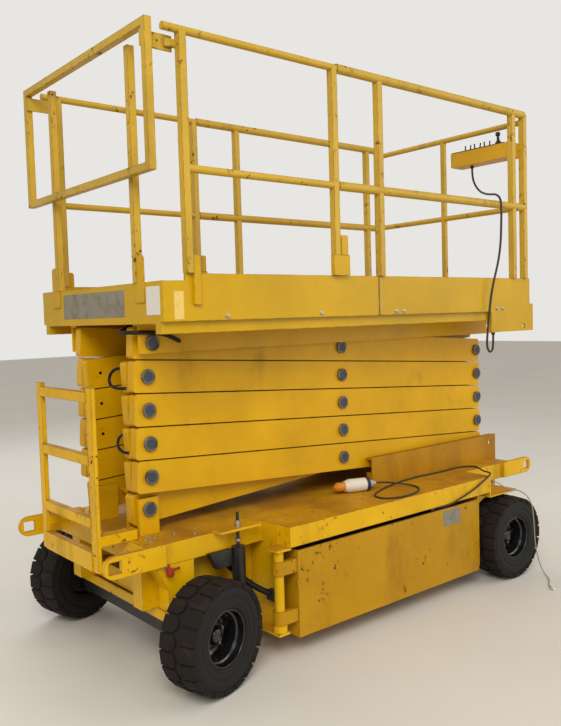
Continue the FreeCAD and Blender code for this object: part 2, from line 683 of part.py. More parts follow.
def steer_axle():
    x, z = front_axle, D.wheel_radius
    half = D.axle_beam / 2
    beam_end = kingpin_half - D.beam_inset
    pieces = axle_pads("steer", x)
    pieces.append(slab("steer_beam", around(x, half), (-beam_end, beam_end), around(z, half)))
    pins = []
    for word, side in SIDES:
        y = side * kingpin_half
        pieces.append(slab(f"beam_nose_{word}", around(x, D.nose_half), to_side(side, beam_end, kingpin_half),
                           around(z, D.nose_tall / 2)))
        pieces.append(upright(f"kingpin_boss_{word}", x, y, around(z, D.boss_tall / 2), D.boss_radius))
        pins.append(upright(f"kingpin_bore_{word}", x, y, around(z, D.boss_tall),
                            D.kingpin_radius + D.shaft_play))
    return keep("steer_axle", carve("steer_axle", join("steer_axle_blank", pieces), pins))


def knuckle(word, side):
    """Yoke and kingpin round the axle's boss, with brake drum and stub shaft."""
    z = D.wheel_radius
    reach = D.boss_tall / 2 + D.yoke_gap
    web_in = D.boss_radius + D.yoke_web_gap
    web_out = web_in + D.yoke_web
    drum_end = D.kingpin_offset - D.rim_wide / 2 + D.rim_disc_inset - D.drum_gap
    pieces = [upright(f"kingpin_{word}", 0, 0, around(z, reach + D.yoke_plate), D.kingpin_radius),
              slab(f"yoke_web_{word}", around(0, D.yoke_half), to_side(side, web_in, web_out),
                   around(z, reach + D.yoke_plate)),
              across(f"drum_{word}", to_side(side, web_out, drum_end), 0, z, D.drum_radius),
              across(f"stub_{word}", to_side(side, web_out, D.kingpin_offset + D.hub_face), 0, z,
                     D.stub_radius)]
    for label, low in (("lower", z - reach - D.yoke_plate), ("upper", z + reach)):
        pieces.append(slab(f"yoke_{label}_{word}", around(0, D.yoke_half),
                           to_side(side, -D.yoke_half, web_out), (low, low + D.yoke_plate)))
    whole = join(f"knuckle_{word}", pieces)
    place = (front_axle, side * kingpin_half, 0)
    whole.Placement = FreeCAD.Placement(V(*place), steer_turn)
    bind(whole, place)
    return keep(f"knuckle_{word}", whole)


def drive_axle():
    x, z = rear_axle, D.wheel_radius
    half = D.axle_beam / 2
    inside = rear_track_half - D.tyre_wide / 2
    pieces = axle_pads("drive", x)
    pieces.append(slab("drive_beam", around(x, half), (D.tube_radius - inside, inside - D.tube_radius),
                       around(z, half)))
    for word, side in SIDES:
        pieces.append(across(f"drive_hub_{word}", to_side(side, inside - half, inside + D.tube_radius), x, z,
                             D.hub_tube_radius))
        pieces.append(across(f"drive_stub_{word}", to_side(side, inside, rear_track_half + D.hub_face), x, z,
                             D.stub_radius))
    return keep("drive_axle", join("drive_axle", pieces))


# cylinders that lock the axle's swing, with a stud through the deck lugs
def axle_locks():
    x = lock_place
    pieces = []
    for word, side in SIDES:
        y = beam_half + D.lock_reach
        pieces.append(join(f"axle_lock_{word}", [
            upright(f"lock_body_{word}", x, side * y, (D.lock_bottom, D.lock_top), D.lock_radius),
            upright(f"lock_stud_{word}", x, side * y, (D.lock_top, D.deck_top + D.stud_rise), D.stud_radius),
            slab(f"lock_shelf_{word}", around(x, D.lock_shelf_half),
                 to_side(side, spine_half, y + D.lock_shelf_reach),
                 (D.lock_bottom - D.lock_shelf, D.lock_bottom))]))
    return keep("axle_locks", gather("axle_locks", pieces))


# swinging side trays on a hinge post at their left end
def tray(word, side):
    t = D.tray_sheet
    outer = D.deck_half
    inner_end = tray_right - D.tray_inset
    post_y = side * (outer - D.post_inset)
    name = f"{word}_tray"
    tall = (D.tray_bottom, D.tray_top)
    deep = to_side(side, tray_back, outer)
    pieces = [slab(f"{name}_door", (tray_left, tray_right), to_side(side, outer - t, outer), tall),
              slab(f"{name}_floor", (tray_left, inner_end), deep, (D.tray_bottom, D.tray_bottom + t)),
              slab(f"{name}_lip", (tray_left, inner_end), to_side(side, tray_back, tray_back + t),
                   (D.tray_bottom, D.tray_bottom + D.cross_member)),
              slab(f"{name}_left", (tray_left, tray_left + t), deep, tall),
              slab(f"{name}_right", (inner_end - t, inner_end), deep, tall)]
    for label, low in (("low", D.sleeve_low), ("high", D.sleeve_high)):
        z_range = (low, low + D.sleeve_tall)
        pieces.append(upright(f"{name}_sleeve_{label}", post_place, post_y, z_range, D.sleeve_radius))
        reach = D.sleeve_radius - D.sleeve_arm_inset
        pieces.append(slab(f"{name}_arm_{label}", (post_place, tray_left + t),
                           ordered(post_y + side * t, post_y + side * reach), z_range))
    bore = upright(f"{name}_bore", post_place, post_y, tall, D.post_radius + D.shaft_play)
    return keep(name, carve(name, join(f"{name}_blank", pieces), [bore]))


def tray_posts():
    """Hinge posts with the collar that the tray's lower sleeve rests on."""
    t = D.lock_shelf
    skirt = D.deck_top - D.skirt_drop
    pieces = []
    for word, side in SIDES:
        y = side * (D.deck_half - D.post_inset)
        x_start = post_place - D.sleeve_radius
        outside = D.deck_half - D.post_edge
        pieces.append(join(f"tray_post_{word}", [
            upright(f"post_{word}", post_place, y, (D.post_bottom, skirt), D.post_radius),
            upright(f"collar_{word}", post_place, y, (D.post_bottom, D.sleeve_low - D.shaft_play),
                    D.sleeve_radius),
            slab(f"post_foot_{word}", (x_start, bay_left - D.sheet),
                 to_side(side, beam_half + t, outside), (D.post_bottom - t, D.post_bottom)),
            slab(f"post_head_{word}", (x_start, bay_left + D.sheet),
                 to_side(side, bulkhead_half + D.shaft_play, outside), (skirt - t, skirt))]))
    return keep("tray_posts", gather("tray_posts", pieces))


def tray_load(node, side, tall):
    """The heavy block that a tray carries."""
    low = D.tray_bottom + D.tray_sheet
    return keep(node, slab(node, (tray_left + D.load_end_gap, tray_right - D.load_far_gap),
                           to_side(side, tray_back + D.load_side_gap, D.deck_half - D.load_side_gap),
                           (low, low + tall)))


# platform: floor, side boards and beams
def platform_deck():
    left, half, t = platform_left, D.platform_half, D.fascia_sheet
    edge = half - D.floor_inset
    low = fascia_bottom - D.under_gap
    under = platform_floor - D.floor_sheet
    pieces = [slab("main_floor", (board_end, main_floor_end), (-edge, edge),
                   (under, platform_floor - D.floor_step)),
              slab("left_floor", (left, board_end), (-half, half), (under, platform_floor)),
              slab("end_board", (left, left + t), (-half, half), (fascia_bottom, end_fascia_top))]
    for word, side in SIDES:
        board = to_side(side, half - t, half)
        pieces.append(slab(f"side_board_{word}", (corner_post - D.post_side / 2, board_end), board,
                           (fascia_bottom, fascia_top)))
        pieces.append(slab(f"short_board_{word}", (left, corner_post), board,
                           (fascia_bottom, end_fascia_top)))
        pieces.append(slab(f"floor_edge_{word}", (left, main_floor_end),
                           to_side(side, edge - D.floor_beam, edge), (low - D.floor_beam, under)))
    spacing = (main_floor_end - left - D.floor_beam) / 4
    for count in range(5):
        x = left + spacing * count
        pieces.append(slab(f"floor_beam_{count}", (x, x + D.floor_beam), (-edge, edge), (low, under)))
    return keep("platform_deck", join("platform_deck", pieces))


def platform_underframe():
    """Two long channels under the floor that take the upper pivots and rollers."""
    height = level(stages)
    low = height - D.roller_radius - D.roller_play - D.channel_wall
    high = fascia_bottom - D.under_gap
    x_range = (-half_span - D.under_past, channel_end)
    sides, pins = [], []
    for word, side in SIDES:
        pieces = channel(f"under_{word}", side, height, x_range, (low, high))
        pieces.append(slab(f"under_top_{word}", x_range,
                           to_side(side, D.pack_half + D.channel_play, channel_outside),
                           (high - D.channel_wall, high)))
        bore = through_web(f"under_bore_{word}", side, -half_span, height, D.pin_radius + D.pin_play)
        hole = through_web(f"under_hole_{word}", side, channel_hole, height, D.channel_hole_radius)
        sides.append(carve(f"underframe_{word}", join(f"under_blank_{word}", pieces), [bore, hole]))
        pins.append(headed_pin(f"platform_{word}", side, -half_span, height, outer_inside, channel_outside))
    keep("platform_underframe", gather("platform_underframe", sides))
    keep("platform_pins", gather("platform_pins", pins))


# guard rails of the fixed part
def platform_rails():
    y = D.platform_half
    half = D.post_side / 2
    tab = D.gate_plate
    inner_end = middle_post + D.extension_travel + D.rail_overlap
    tail = gate_hinge - D.post_side
    sides = []
    for word, side in SIDES:
        pieces = []
        for label, height, start in (("top", rail_height, tail), ("mid", mid_rail, corner_post)):
            pieces.append(rod(f"{label}_rail_{word}", (start, side * y, height), ALONG, D.rail_radius,
                              inner_end - start))
        for label, x in (("corner", corner_post), ("middle", middle_post)):
            pieces.append(slab(f"{label}_post_{word}", around(x, half), around(side * y, half),
                               (fascia_top, rail_height)))
        inside = y - half
        pieces.append(slab(f"gate_tab_{word}", (gate_hinge - half, corner_post),
                           to_side(side, inside, inside + tab), around(hinge_height, D.rail_radius)))
        pieces.append(across(f"gate_pin_{word}", to_side(side, inside + tab - D.gate_pin_long, inside + tab),
                             gate_hinge, hinge_height, D.gate_pin_radius))
        sides.append(join(f"rail_side_{word}", pieces))
    entry = D.entry_side / 2
    posts = [slab(f"entry_post_{word}", around(platform_left + D.entry_inset, entry),
                  around(side * D.entry_half, entry), (end_fascia_top, rail_top - D.entry_drop))
             for word, side in SIDES]
    return keep("platform_rails", gather("platform_rails", sides + posts))


# gate: one open frame that swings outward and up about the pins at the rail ends
def gate():
    x, y = platform_left - D.gate_ahead, D.platform_half
    half = D.gate_bar / 2
    low = platform_floor + D.gate_above
    wide = (-y - half, y + half)
    pieces = [slab("gate_top", around(x, half), wide, (rail_top - D.gate_bar, rail_top)),
              slab("gate_low", around(x, half), wide, around(low, half))]
    holes = []
    for word, side in SIDES:
        pieces.append(slab(f"gate_side_{word}", around(x, half), around(side * y, half), (low, rail_top)))
        plate_out = y - D.post_side / 2 - D.board_gap
        z_range = around(hinge_height, D.gate_bar)
        pieces.append(slab(f"gate_plate_{word}", (x - half, gate_hinge + D.gate_plate_past),
                           to_side(side, plate_out - D.gate_plate, plate_out), z_range))
        pieces.append(slab(f"gate_pad_{word}", around(x, half), to_side(side, plate_out, y - half), z_range))
        through = to_side(side, plate_out - D.gate_bar, plate_out + D.gate_plate)
        holes.append(across(f"gate_hole_{word}", through, gate_hinge, hinge_height,
                            D.gate_pin_radius + D.shaft_play))
    return keep("gate", carve("gate", join("gate_blank", pieces), holes))


# sliding part: its own floor, boards and thicker rails that run over the fixed ones
def extension_deck():
    start, end, half, t = extension_start, extension_end, D.platform_half, D.fascia_sheet
    low = platform_floor + D.extension_gap
    pad_seat = platform_floor - D.floor_step + D.shaft_play
    pieces = [slab("slide_floor", (start, end), (-half, half), (low, low + D.extension_sheet)),
              slab("slide_end_board", (end - t, end), (-half, half), (fascia_bottom, fascia_top))]
    holes = []
    for word, side in SIDES:
        board = to_side(side, half - t, half)
        pieces.append(slab(f"slide_board_{word}", (start, end), board, (fascia_bottom, fascia_top)))
        pieces.append(slab(f"slide_hanger_{word}", (end - D.hanger_inset, end + D.hanger_past), board,
                           (hanger_bottom, fascia_bottom)))
        pieces.append(slab(f"hanger_end_{word}", (end, end + D.hanger_past), board,
                           around(fascia_bottom, D.floor_beam)))
        holes.append(across(f"hanger_hole_{word}", around(side * half, t * 2), channel_hole, level(stages),
                            D.hanger_hole_radius))
        for label, x in (("first", start), ("last", main_floor_end - D.extension_travel - D.slide_pad)):
            pieces.append(slab(f"slide_pad_{label}_{word}", (x, x + D.slide_pad),
                               to_side(side, half - D.slide_pad * 2, half - D.slide_pad), (pad_seat, low)))
    return keep("extension_deck", carve("extension_deck", join("extension_deck_blank", pieces), holes))


def extension_rails():
    y = D.platform_half
    half = D.post_side / 2
    bore_radius = D.rail_radius + D.rail_play
    start = middle_post + half + D.extension_gap
    tubes, bores = [], []
    for word, side in SIDES:
        for label, height in (("top", rail_height), ("mid", mid_rail)):
            tubes.append(rod(f"sleeve_{label}_{word}", (start, side * y, height), ALONG,
                             bore_radius + D.sleeve_wall, end_post - start))
            bores.append(rod(f"sleeve_bore_{label}_{word}", (start - D.sheet, side * y, height), ALONG,
                             bore_radius, late_post + D.post_side - start + D.sheet))
        for label, x in (("start", extension_start + half), ("late", late_post), ("end", end_post)):
            tubes.append(slab(f"slide_post_{label}_{word}", around(x, half), around(side * y, half),
                              (fascia_top, rail_height)))
    end_top = rail_height - D.end_bar_drop
    for label, height in (("top", end_top), ("mid", mid_rail)):
        tubes.append(rod(f"end_bar_{label}", (end_post, -y, height), ACROSS, D.rail_radius, y * 2))
    middle = D.end_middle_side / 2
    tubes.append(slab("end_middle_post", around(end_post, middle), around(0, middle),
                      (platform_floor + D.extension_gap + D.extension_sheet, end_top)))
    return keep("extension_rails", carve("extension_rails", join("extension_rail_blank", tubes), bores))


def control_box():
    edge = -D.platform_half + D.post_side / 2
    low = rail_top - D.box_drop
    tall = (low, low + D.box_tall)
    x = late_post - D.box_lead
    body_start = edge + D.box_bracket
    pieces = [slab("control_body", (x, x + D.box_deep), (body_start, body_start + D.box_long), tall),
              slab("control_bracket", (late_post - D.post_side / 2, end_post + D.post_side / 2),
                   (edge, body_start), tall)]
    return keep("control_box", join("control_box", pieces))


# leads and hoses: straight runs joined by arcs as wide as the runs allow
def cord_wire(route):
    points = [V(*point) for point in route]
    edges, radii = [], []
    last = points[0]
    for before, corner, after in zip(points, points[1:], points[2:]):
        back, ahead = (before - corner), (after - corner)
        run = min(back.Length, ahead.Length)
        back.normalize()
        ahead.normalize()
        half_turn = (math.pi - back.getAngle(ahead)) / 2
        reach = 0.45 * run
        radius = reach / math.tan(half_turn)
        radii.append(radius)
        start, end = corner + back * reach, corner + ahead * reach
        bisector = (back + ahead).normalize()
        middle = corner + bisector * (radius / math.cos(half_turn) - radius)
        edges.append(Part.LineSegment(last, start).toShape())
        edges.append(Part.Arc(start, middle, end).toShape())
        last = end
    edges.append(Part.LineSegment(last, points[-1]).toShape())
    return Part.Wire(edges), radii


def cord(node, route, diameter):
    path, radii = cord_wire(route)
    direction = V(*route[1]) - V(*route[0])
    section = Part.Wire(Part.Circle(V(*route[0]), direction, diameter / 2).toShape())
    tube = doc.addObject("Part::Feature", node)
    tube.Shape = path.makePipeShell([section], True, True)
    expected = math.pi * diameter ** 2 / 4 * path.Length
    print(node, "length", round(path.Length), "least radius", round(min(radii)), "of", round(diameter),
          "volume ratio", round(tube.Shape.Volume / expected, 4))
    return keep(node, tube)


control_cable_route = [
    (1140, -262, 2358), (1140, -262, 2298), (1118, -305, 2238), (1072, -370, 2196), (1018, -446, 2170),
    (972, -510, 2156),
    (936, -568, 2147), (915, -612, 2118), (908, -622, 2058), (910, -618, 1980), (913, -613, 1900),
    (908, -607, 1820), (890, -603, 1745), (864, -600, 1675), (842, -597, 1600), (830, -594, 1525),
    (820, -591, 1450), (815, -588, 1390), (811, -586, 1342), (814, -584, 1302), (840, -578, 1276),
    (876, -570, 1276), (902, -562, 1302), (902, -562, 1368)]

charger_lead_route = [
    (322, -586, 493), (362, -589, 492.5), (408, -600, 493), (455, -608, 499), (515, -609, 514),
    (580, -608, 527), (645, -608.5, 545), (708, -609, 568), (765, -610, 592), (808, -602, 607),
    (838, -562, 602), (874, -506, 594), (912, -450, 597), (938, -396, 599), (918, -348, 595.5),
    (860, -334, 594.6), (780, -334, 594.6), (700, -340, 594.6), (610, -336, 594.6), (520, -331, 594.6),
    (430, -336, 594.6), (350, -346, 594.6), (270, -362, 594.6), (190, -385, 594.6), (115, -412, 594.6),
    (45, -445, 594.6), (2, -492, 594.6), (8, -545, 594.6), (55, -578, 594.6), (120, -588, 594.6),
    (190, -580, 594.6), (255, -556, 594.6), (305, -515, 594.8), (320, -465, 597), (290, -425, 604),
    (240, -402, 614), (186, -382, 624), (136, -366, 626.3)]

thin_lead_route = [
    (828, -588, 556), (868, -591, 549), (910, -597, 522), (950, -602, 497), (992, -611, 487),
    (1030, -632, 478), (1052, -664, 455), (1060, -690, 413), (1060, -702, 355), (1057, -708, 290),
    (1053, -714, 225), (1052, -722, 160), (1058, -732, 100), (1068, -744, 50), (1074, -762, 14),
    (1062, -790, 4), (1025, -822, 3.4), (982, -845, 3.4), (948, -866, 3.4), (930, -890, 3.4)]

hose_route = [(-872, -347, 466), (-818, -380, 434), (-768, -418, 385), (-722, -458, 328), (-675, -496, 274)]

# the connector's rings from the lead outwards: radius at both ends and length
connector_rings = [(8, 27, 44), (36, 36, 18), (34, 35, 98), (33, 27, 22), (22, 24, 43), (23, 10, 15)]


def lead_glands():
    """Clips and glands where the leads and the hoses leave the chassis."""
    skirt = D.deck_top - D.skirt_drop
    seam, shoulder = charger_lead_route[0], thin_lead_route[0]
    spine, bulkhead = hose_route[0], hose_route[-1]
    side = D.hose_gland_side / 2
    face = bay_left - D.sheet
    glands = [
        slab("seam_clip", (seam[0] - D.clip_long, seam[0]), (-D.deck_half, D.clip_deep - D.deck_half),
             (skirt - D.clip_tall, skirt)),
        rod("shoulder_clip", (bay_right, shoulder[1], shoulder[2]), ALONG, D.clip_radius,
            D.shoulder_clip_long),
        slab("spine_gland", around(spine[0], side), (-spine_half - D.hose_gland_deep, -spine_half),
             around(spine[2], side)),
        slab("bulkhead_gland", (face - D.hose_gland_deep, face), around(bulkhead[1], side),
             around(bulkhead[2], side))]
    return keep("lead_glands", gather("lead_glands", glands))


def control_glands():
    """Glands under the control box and under the hanger plate, at the cable's two ends."""
    ends = (("box", control_cable_route[0], rail_top - D.box_drop),
            ("hanger", control_cable_route[-1], hanger_bottom))
    return keep("control_glands", gather("control_glands", [
        upright(f"{label}_gland", place[0], place[1], (seat - D.gland_long, seat), D.gland_radius)
        for label, place, seat in ends]))


def charger_connector():
    """The plug pair on the charging lead, turned about the lead's line."""
    outline, place = [(0, 0)], 0
    for first, last, long in connector_rings:
        outline += [(first, place), (last, place + long)]
        place += long
    end, before = V(*charger_lead_route[-1]), V(*charger_lead_route[-2])
    line = end - before
    line.z = 0
    feature = doc.addObject("Part::Feature", "charger_connector")
    feature.Shape = spin(outline + [(0, place)])
    feature.Placement = FreeCAD.Placement(end, FreeCAD.Rotation(ACROSS, line))
    return keep("charger_connector", feature)


def thin_plug():
    end, before = V(*thin_lead_route[-1]), V(*thin_lead_route[-2])
    start = end + UP * (D.plug_radius - D.thin_lead / 2)
    return keep("thin_plug", rod("thin_plug", tuple(start), end - before, D.plug_radius, D.plug_long))


chassis_frame()
chassis_spines()
tow_plates()
front_guard()
ladder()
chassis_slides()
base_brackets()
for stage in range(1, stages + 1):
    inner_arm(stage)
    outer_arm(stage)
    arm_pins(stage)
top_rollers()
lift_barrel()
lift_rod()
wheels()
steer_axle()
for word, side in SIDES:
    knuckle(word, side)
    tray(word, side)
drive_axle()
axle_locks()
tray_posts()
tray_load("battery_block", -1, D.battery_tall)
tray_load("power_block", 1, D.power_tall)
platform_deck()
platform_underframe()
platform_rails()
gate()
extension_deck()
extension_rails()
control_box()
lead_glands()
control_glands()
charger_connector()
thin_plug()
cord("control_cable", control_cable_route, D.control_cable)
cord("charger_lead", charger_lead_route, D.charger_lead)
cord("thin_lead", thin_lead_route, D.thin_lead)
cord("hose_bundle", hose_route, D.hose)

doc.recompute()
for item in doc.Objects:
    if "Invalid" in item.State or "Error" in item.State:
        raise RuntimeError(f"{item.Label} is {item.State}")
os.makedirs("parts", exist_ok=True)
for node, item in nodes.items():
    shape = item.Shape
    if shape.isNull() or not shape.isValid():
        raise RuntimeError(f"{node} has no valid shape")
    shape.exportStep(f"parts/{node}.step")
    print(node, len(shape.Solids), round(shape.Volume / 1e6, 2))
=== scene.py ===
import math

import bpy
from mathutils import Matrix, Vector


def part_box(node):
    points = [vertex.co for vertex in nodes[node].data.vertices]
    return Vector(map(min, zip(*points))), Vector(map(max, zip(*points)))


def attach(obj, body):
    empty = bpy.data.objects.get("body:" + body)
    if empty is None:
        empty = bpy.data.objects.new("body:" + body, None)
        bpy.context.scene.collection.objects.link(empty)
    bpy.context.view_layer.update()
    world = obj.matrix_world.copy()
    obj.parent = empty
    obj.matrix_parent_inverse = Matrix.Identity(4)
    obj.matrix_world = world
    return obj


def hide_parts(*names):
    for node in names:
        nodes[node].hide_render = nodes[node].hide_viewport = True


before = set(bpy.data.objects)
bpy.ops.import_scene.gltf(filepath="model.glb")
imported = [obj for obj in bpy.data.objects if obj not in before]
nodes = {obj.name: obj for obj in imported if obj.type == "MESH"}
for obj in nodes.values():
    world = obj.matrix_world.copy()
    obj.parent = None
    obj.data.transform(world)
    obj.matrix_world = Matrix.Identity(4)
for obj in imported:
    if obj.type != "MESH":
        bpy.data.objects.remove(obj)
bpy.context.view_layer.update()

print("frame loaded,", len(nodes), "nodes")

# the folded pack's own measures, read from the frame
basePinLow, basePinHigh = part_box("base_pins")
rollerLow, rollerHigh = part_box("top_rollers")
stages = 5
halfSpan = (rollerLow.x + rollerHigh.x) / 2
pivotHeight = (basePinLow.z + basePinHigh.z) / 2
stagePitch = ((rollerLow.z + rollerHigh.z) / 2 - pivotHeight) / stages
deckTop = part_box("base_brackets")[0].z
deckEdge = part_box("chassis_frame")[0].y
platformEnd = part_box("platform_deck")[0].x
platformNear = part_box("platform_deck")[0].y
backing = 0.001  # how far a plate that lies on a face reaches into it


def level(step):
    return pivotHeight + stagePitch * step


# camera at the photograph's place
camera = {
    "place": (-2.7633, -3.1324, 1.5020),
    "focalPixels": 772.73,
    "longSide": 726,
    "yaw": 0.68971,
    "pitch": -0.05943,
    "roll": -0.029738,
}


def addCamera():
    data = bpy.data.cameras.new("camera")
    data.sensor_width = 36
    data.lens = data.sensor_width * camera["focalPixels"] / camera["longSide"]
    shot = bpy.data.objects.new("camera", data)
    bpy.context.scene.collection.objects.link(shot)
    yaw, pitch, roll = camera["yaw"], camera["pitch"], camera["roll"]
    ahead = Vector((math.sin(yaw) * math.cos(pitch), math.cos(yaw) * math.cos(pitch), math.sin(pitch)))
    side = Vector((math.cos(yaw), -math.sin(yaw), 0))
    over = side.cross(ahead)
    right = math.cos(roll) * side + math.sin(roll) * over
    top = math.cos(roll) * over - math.sin(roll) * side
    turn = Matrix((right, top, -ahead)).transposed().to_4x4()
    shot.matrix_world = Matrix.Translation(camera["place"]) @ turn
    bpy.context.scene.camera = shot


addCamera()
bpy.context.scene.view_settings.view_transform = "Standard"


# node helpers: colours are given as they show on a screen, 0 to 255
def tone(red, green, blue):
    shares = [value / 255 for value in (red, green, blue)]
    return (*[((share + 0.055) / 1.055) ** 2.4 if share > 0.04 else share / 12.92 for share in shares], 1)


def setSockets(tree, sockets, values):
    for label, value in values.items():
        if isinstance(value, bpy.types.NodeSocket):
            tree.links.new(value, sockets[label])
        else:
            sockets[label].default_value = value


def addNode(tree, kind, links=None, **settings):
    node = tree.nodes.new("ShaderNode" + kind)
    for name, value in settings.items():
        setattr(node, name, value)
    setSockets(tree, node.inputs, links or {})
    return node


def addMath(tree, operation, first, second=0.0):
    return addNode(tree, "Math", {0: first, 1: second}, operation=operation, use_clamp=True).outputs[0]


def addVector(tree, operation, first, second):
    return addNode(tree, "VectorMath", {0: first, 1: second}, operation=operation).outputs


def addMix(tree, share, first, second):
    return addNode(tree, "Mix", {0: share, 6: first, 7: second}, data_type="RGBA").outputs[2]


def addRange(tree, value, low=0.0, high=1.0, bottom=0.0, top=1.0):
    limits = {"From Min": low, "From Max": high, "To Min": bottom, "To Max": top}
    return addNode(tree, "MapRange", {"Value": value} | limits).outputs[0]


def addNoise(tree, scale, detail, roughness=0.5, place=None):
    place = place or addNode(tree, "TexCoord").outputs["Object"]
    sockets = {"Vector": place, "Scale": scale, "Detail": detail, "Roughness": roughness}
    return addNode(tree, "TexNoise", sockets).outputs[0]


def startGroup(name, inputs, output):
    tree = bpy.data.node_groups.new(name, "ShaderNodeTree")
    for label, value in inputs.items():
        tree.interface.new_socket(label, in_out="INPUT", socket_type="NodeSocketFloat").default_value = value
    tree.interface.new_socket(output, in_out="OUTPUT", socket_type="NodeSocketFloat")
    return tree, tree.nodes.new("NodeGroupInput").outputs, tree.nodes.new("NodeGroupOutput").inputs[output]


def placeGroup(tree, group, **values):
    node = tree.nodes.new("ShaderNodeGroup")
    node.node_tree = group
    setSockets(tree, node.inputs, {label.capitalize(): value for label, value in values.items()})
    return node.outputs[0]


def patchesGroup():
    inputs = {"Scale": 3.0, "Cover": 0.4, "Soft": 0.1, "Stretch": 1.0}
    tree, given, result = startGroup("patches", inputs, "Mask")
    place = addNode(tree, "TexCoord").outputs["Object"]
    stretch = addNode(tree, "CombineXYZ", {0: 1.0, 1: 1.0, 2: given["Stretch"]}).outputs[0]
    scaled = addVector(tree, "MULTIPLY", place, stretch)[0]
    cloud = addNoise(tree, given["Scale"], detail=8.0, roughness=0.62, place=scaled)
    low = addMath(tree, "SUBTRACT", 1.0, given["Cover"])
    high = addMath(tree, "ADD", low, given["Soft"])
    tree.links.new(addRange(tree, cloud, low, high), result)
    return tree


def edgesGroup():
    tree, given, result = startGroup("worn edges", {"Radius": 0.004, "Amount": 0.6, "Scale": 30.0}, "Mask")
    soft = addNode(tree, "Bevel", {"Radius": given["Radius"]}, samples=4).outputs[0]
    flat = addNode(tree, "NewGeometry").outputs["Normal"]
    likeness = addVector(tree, "DOT_PRODUCT", soft, flat)["Value"]
    edge = addRange(tree, likeness, 0.995, 0.86)
    chips = addNoise(tree, given["Scale"], detail=6.0)
    low = addMath(tree, "SUBTRACT", 0.75, addMath(tree, "MULTIPLY", given["Amount"], 0.5))
    broken = addRange(tree, chips, low, addMath(tree, "ADD", low, 0.08))
    tree.links.new(addMath(tree, "MULTIPLY", edge, broken), result)
    return tree


def dustGroup():
    tree, given, result = startGroup("dust on top", {"Amount": 0.6, "Scale": 4.0}, "Mask")
    normal = addNode(tree, "TexCoord").outputs["Normal"]
    facing = addRange(tree, addNode(tree, "SeparateXYZ", {0: normal}).outputs[2], 0.5, 0.95)
    cloud = addNoise(tree, given["Scale"], detail=7.0, roughness=0.6)
    spread = addRange(tree, cloud, low=0.25, high=0.7, bottom=0.35)
    mask = addMath(tree, "MULTIPLY", addMath(tree, "MULTIPLY", facing, spread), given["Amount"])
    tree.links.new(mask, result)
    return tree


def grainGroup():
    tree, given, result = startGroup("grain", {"Scale": 220.0, "Waves": 18.0}, "Height")
    fine = addMath(tree, "MULTIPLY", addNoise(tree, given["Scale"], detail=3.0), 0.35)
    broad = addMath(tree, "MULTIPLY", addNoise(tree, given["Waves"], detail=2.0), 0.6)
    tree.links.new(addMath(tree, "ADD", fine, broad), result)
    return tree


patches = patchesGroup()
wornEdges = edgesGroup()
topDust = dustGroup()
grain = grainGroup()
print("shader groups built")


def addPatches(tree, scale, cover, soft, stretch=1.0):
    return placeGroup(tree, patches, scale=scale, cover=cover, soft=soft, stretch=stretch)


def startMaterial(name, **values):
    material = bpy.data.materials.new(name)
    material.use_nodes = True
    tree = material.node_tree
    shader = tree.nodes["Principled BSDF"]
    for label, value in values.items():
        shader.inputs[label.replace("_", " ")].default_value = value
    return material, tree, shader


def finishMaterial(tree, shader, colour, rough, height, strength, distance):
    bump = addNode(tree, "Bump", {"Height": height, "Strength": strength, "Distance": distance}).outputs[0]
    setSockets(tree, shader.inputs, {"Base Color": colour, "Roughness": rough, "Normal": bump})


# worn paint: a yellow that varies, dust on what faces up, grime in streaks, chipped edges and rust spots
wear = {
    "dust": tone(146, 94, 24),
    "grime": tone(122, 80, 14),
    "rust": tone(98, 52, 26),
    "chip": tone(112, 78, 44),
    "shine": 0.24,
    "gloss": 0.36,
    "matt": 0.78,
    "edgeRadius": 0.005,
    "darker": 0.8,  # share of the paint's colour that is left where it is darker
    "grimeDepth": 0.55,
    "pitDepth": 0.5,
}


def wornPaint(name, base, dust, grime, rust, chips, streak):
    material, tree, shader = startMaterial(name, Specular_IOR_Level=wear["shine"])
    darker = tuple(channel * wear["darker"] for channel in base[:3]) + (1,)
    colour = addMix(tree, addPatches(tree, scale=2.2, cover=0.62, soft=0.3), base, darker)
    streaks = addPatches(tree, scale=5.5, cover=grime, soft=0.25, stretch=streak)
    dirty = addMath(tree, "MULTIPLY", streaks, wear["grimeDepth"])
    colour = addMix(tree, dirty, colour, wear["grime"])
    dusty = placeGroup(tree, topDust, amount=dust, scale=4.5)
    colour = addMix(tree, dusty, colour, wear["dust"])
    spots = addPatches(tree, scale=34.0, cover=rust, soft=0.03)
    rusty = addMath(tree, "MULTIPLY", spots, addPatches(tree, scale=3.4, cover=0.5, soft=0.1))
    colour = addMix(tree, rusty, colour, wear["rust"])
    edge = placeGroup(tree, wornEdges, radius=wear["edgeRadius"], amount=chips, scale=26.0)
    colour = addMix(tree, edge, colour, wear["chip"])
    worn = dusty
    for mask in (rusty, edge, dirty):
        worn = addMath(tree, "MAXIMUM", worn, mask)
    rough = addRange(tree, worn, bottom=wear["gloss"], top=wear["matt"])
    pits = addMath(tree, "MULTIPLY", addMath(tree, "MAXIMUM", edge, rusty), wear["pitDepth"])
    height = addMath(tree, "SUBTRACT", placeGroup(tree, grain, scale=260.0, waves=22.0), pits)
    finishMaterial(tree, shader, colour, rough, height, strength=0.25, distance=0.0012)
    return material


# bare or plated metal with grease
def plainMetal(name, base, stain, roughness, metallic, cover):
    material, tree, shader = startMaterial(name, Metallic=metallic)
    greasy = addPatches(tree, scale=28.0, cover=cover, soft=0.18)
    colour = addMix(tree, greasy, base, stain)
    rough = addRange(tree, greasy, bottom=roughness, top=min(1, roughness + 0.35))
    height = placeGroup(tree, grain, scale=400.0, waves=60.0)
    finishMaterial(tree, shader, colour, rough, height, strength=0.2, distance=0.0006)
    return material


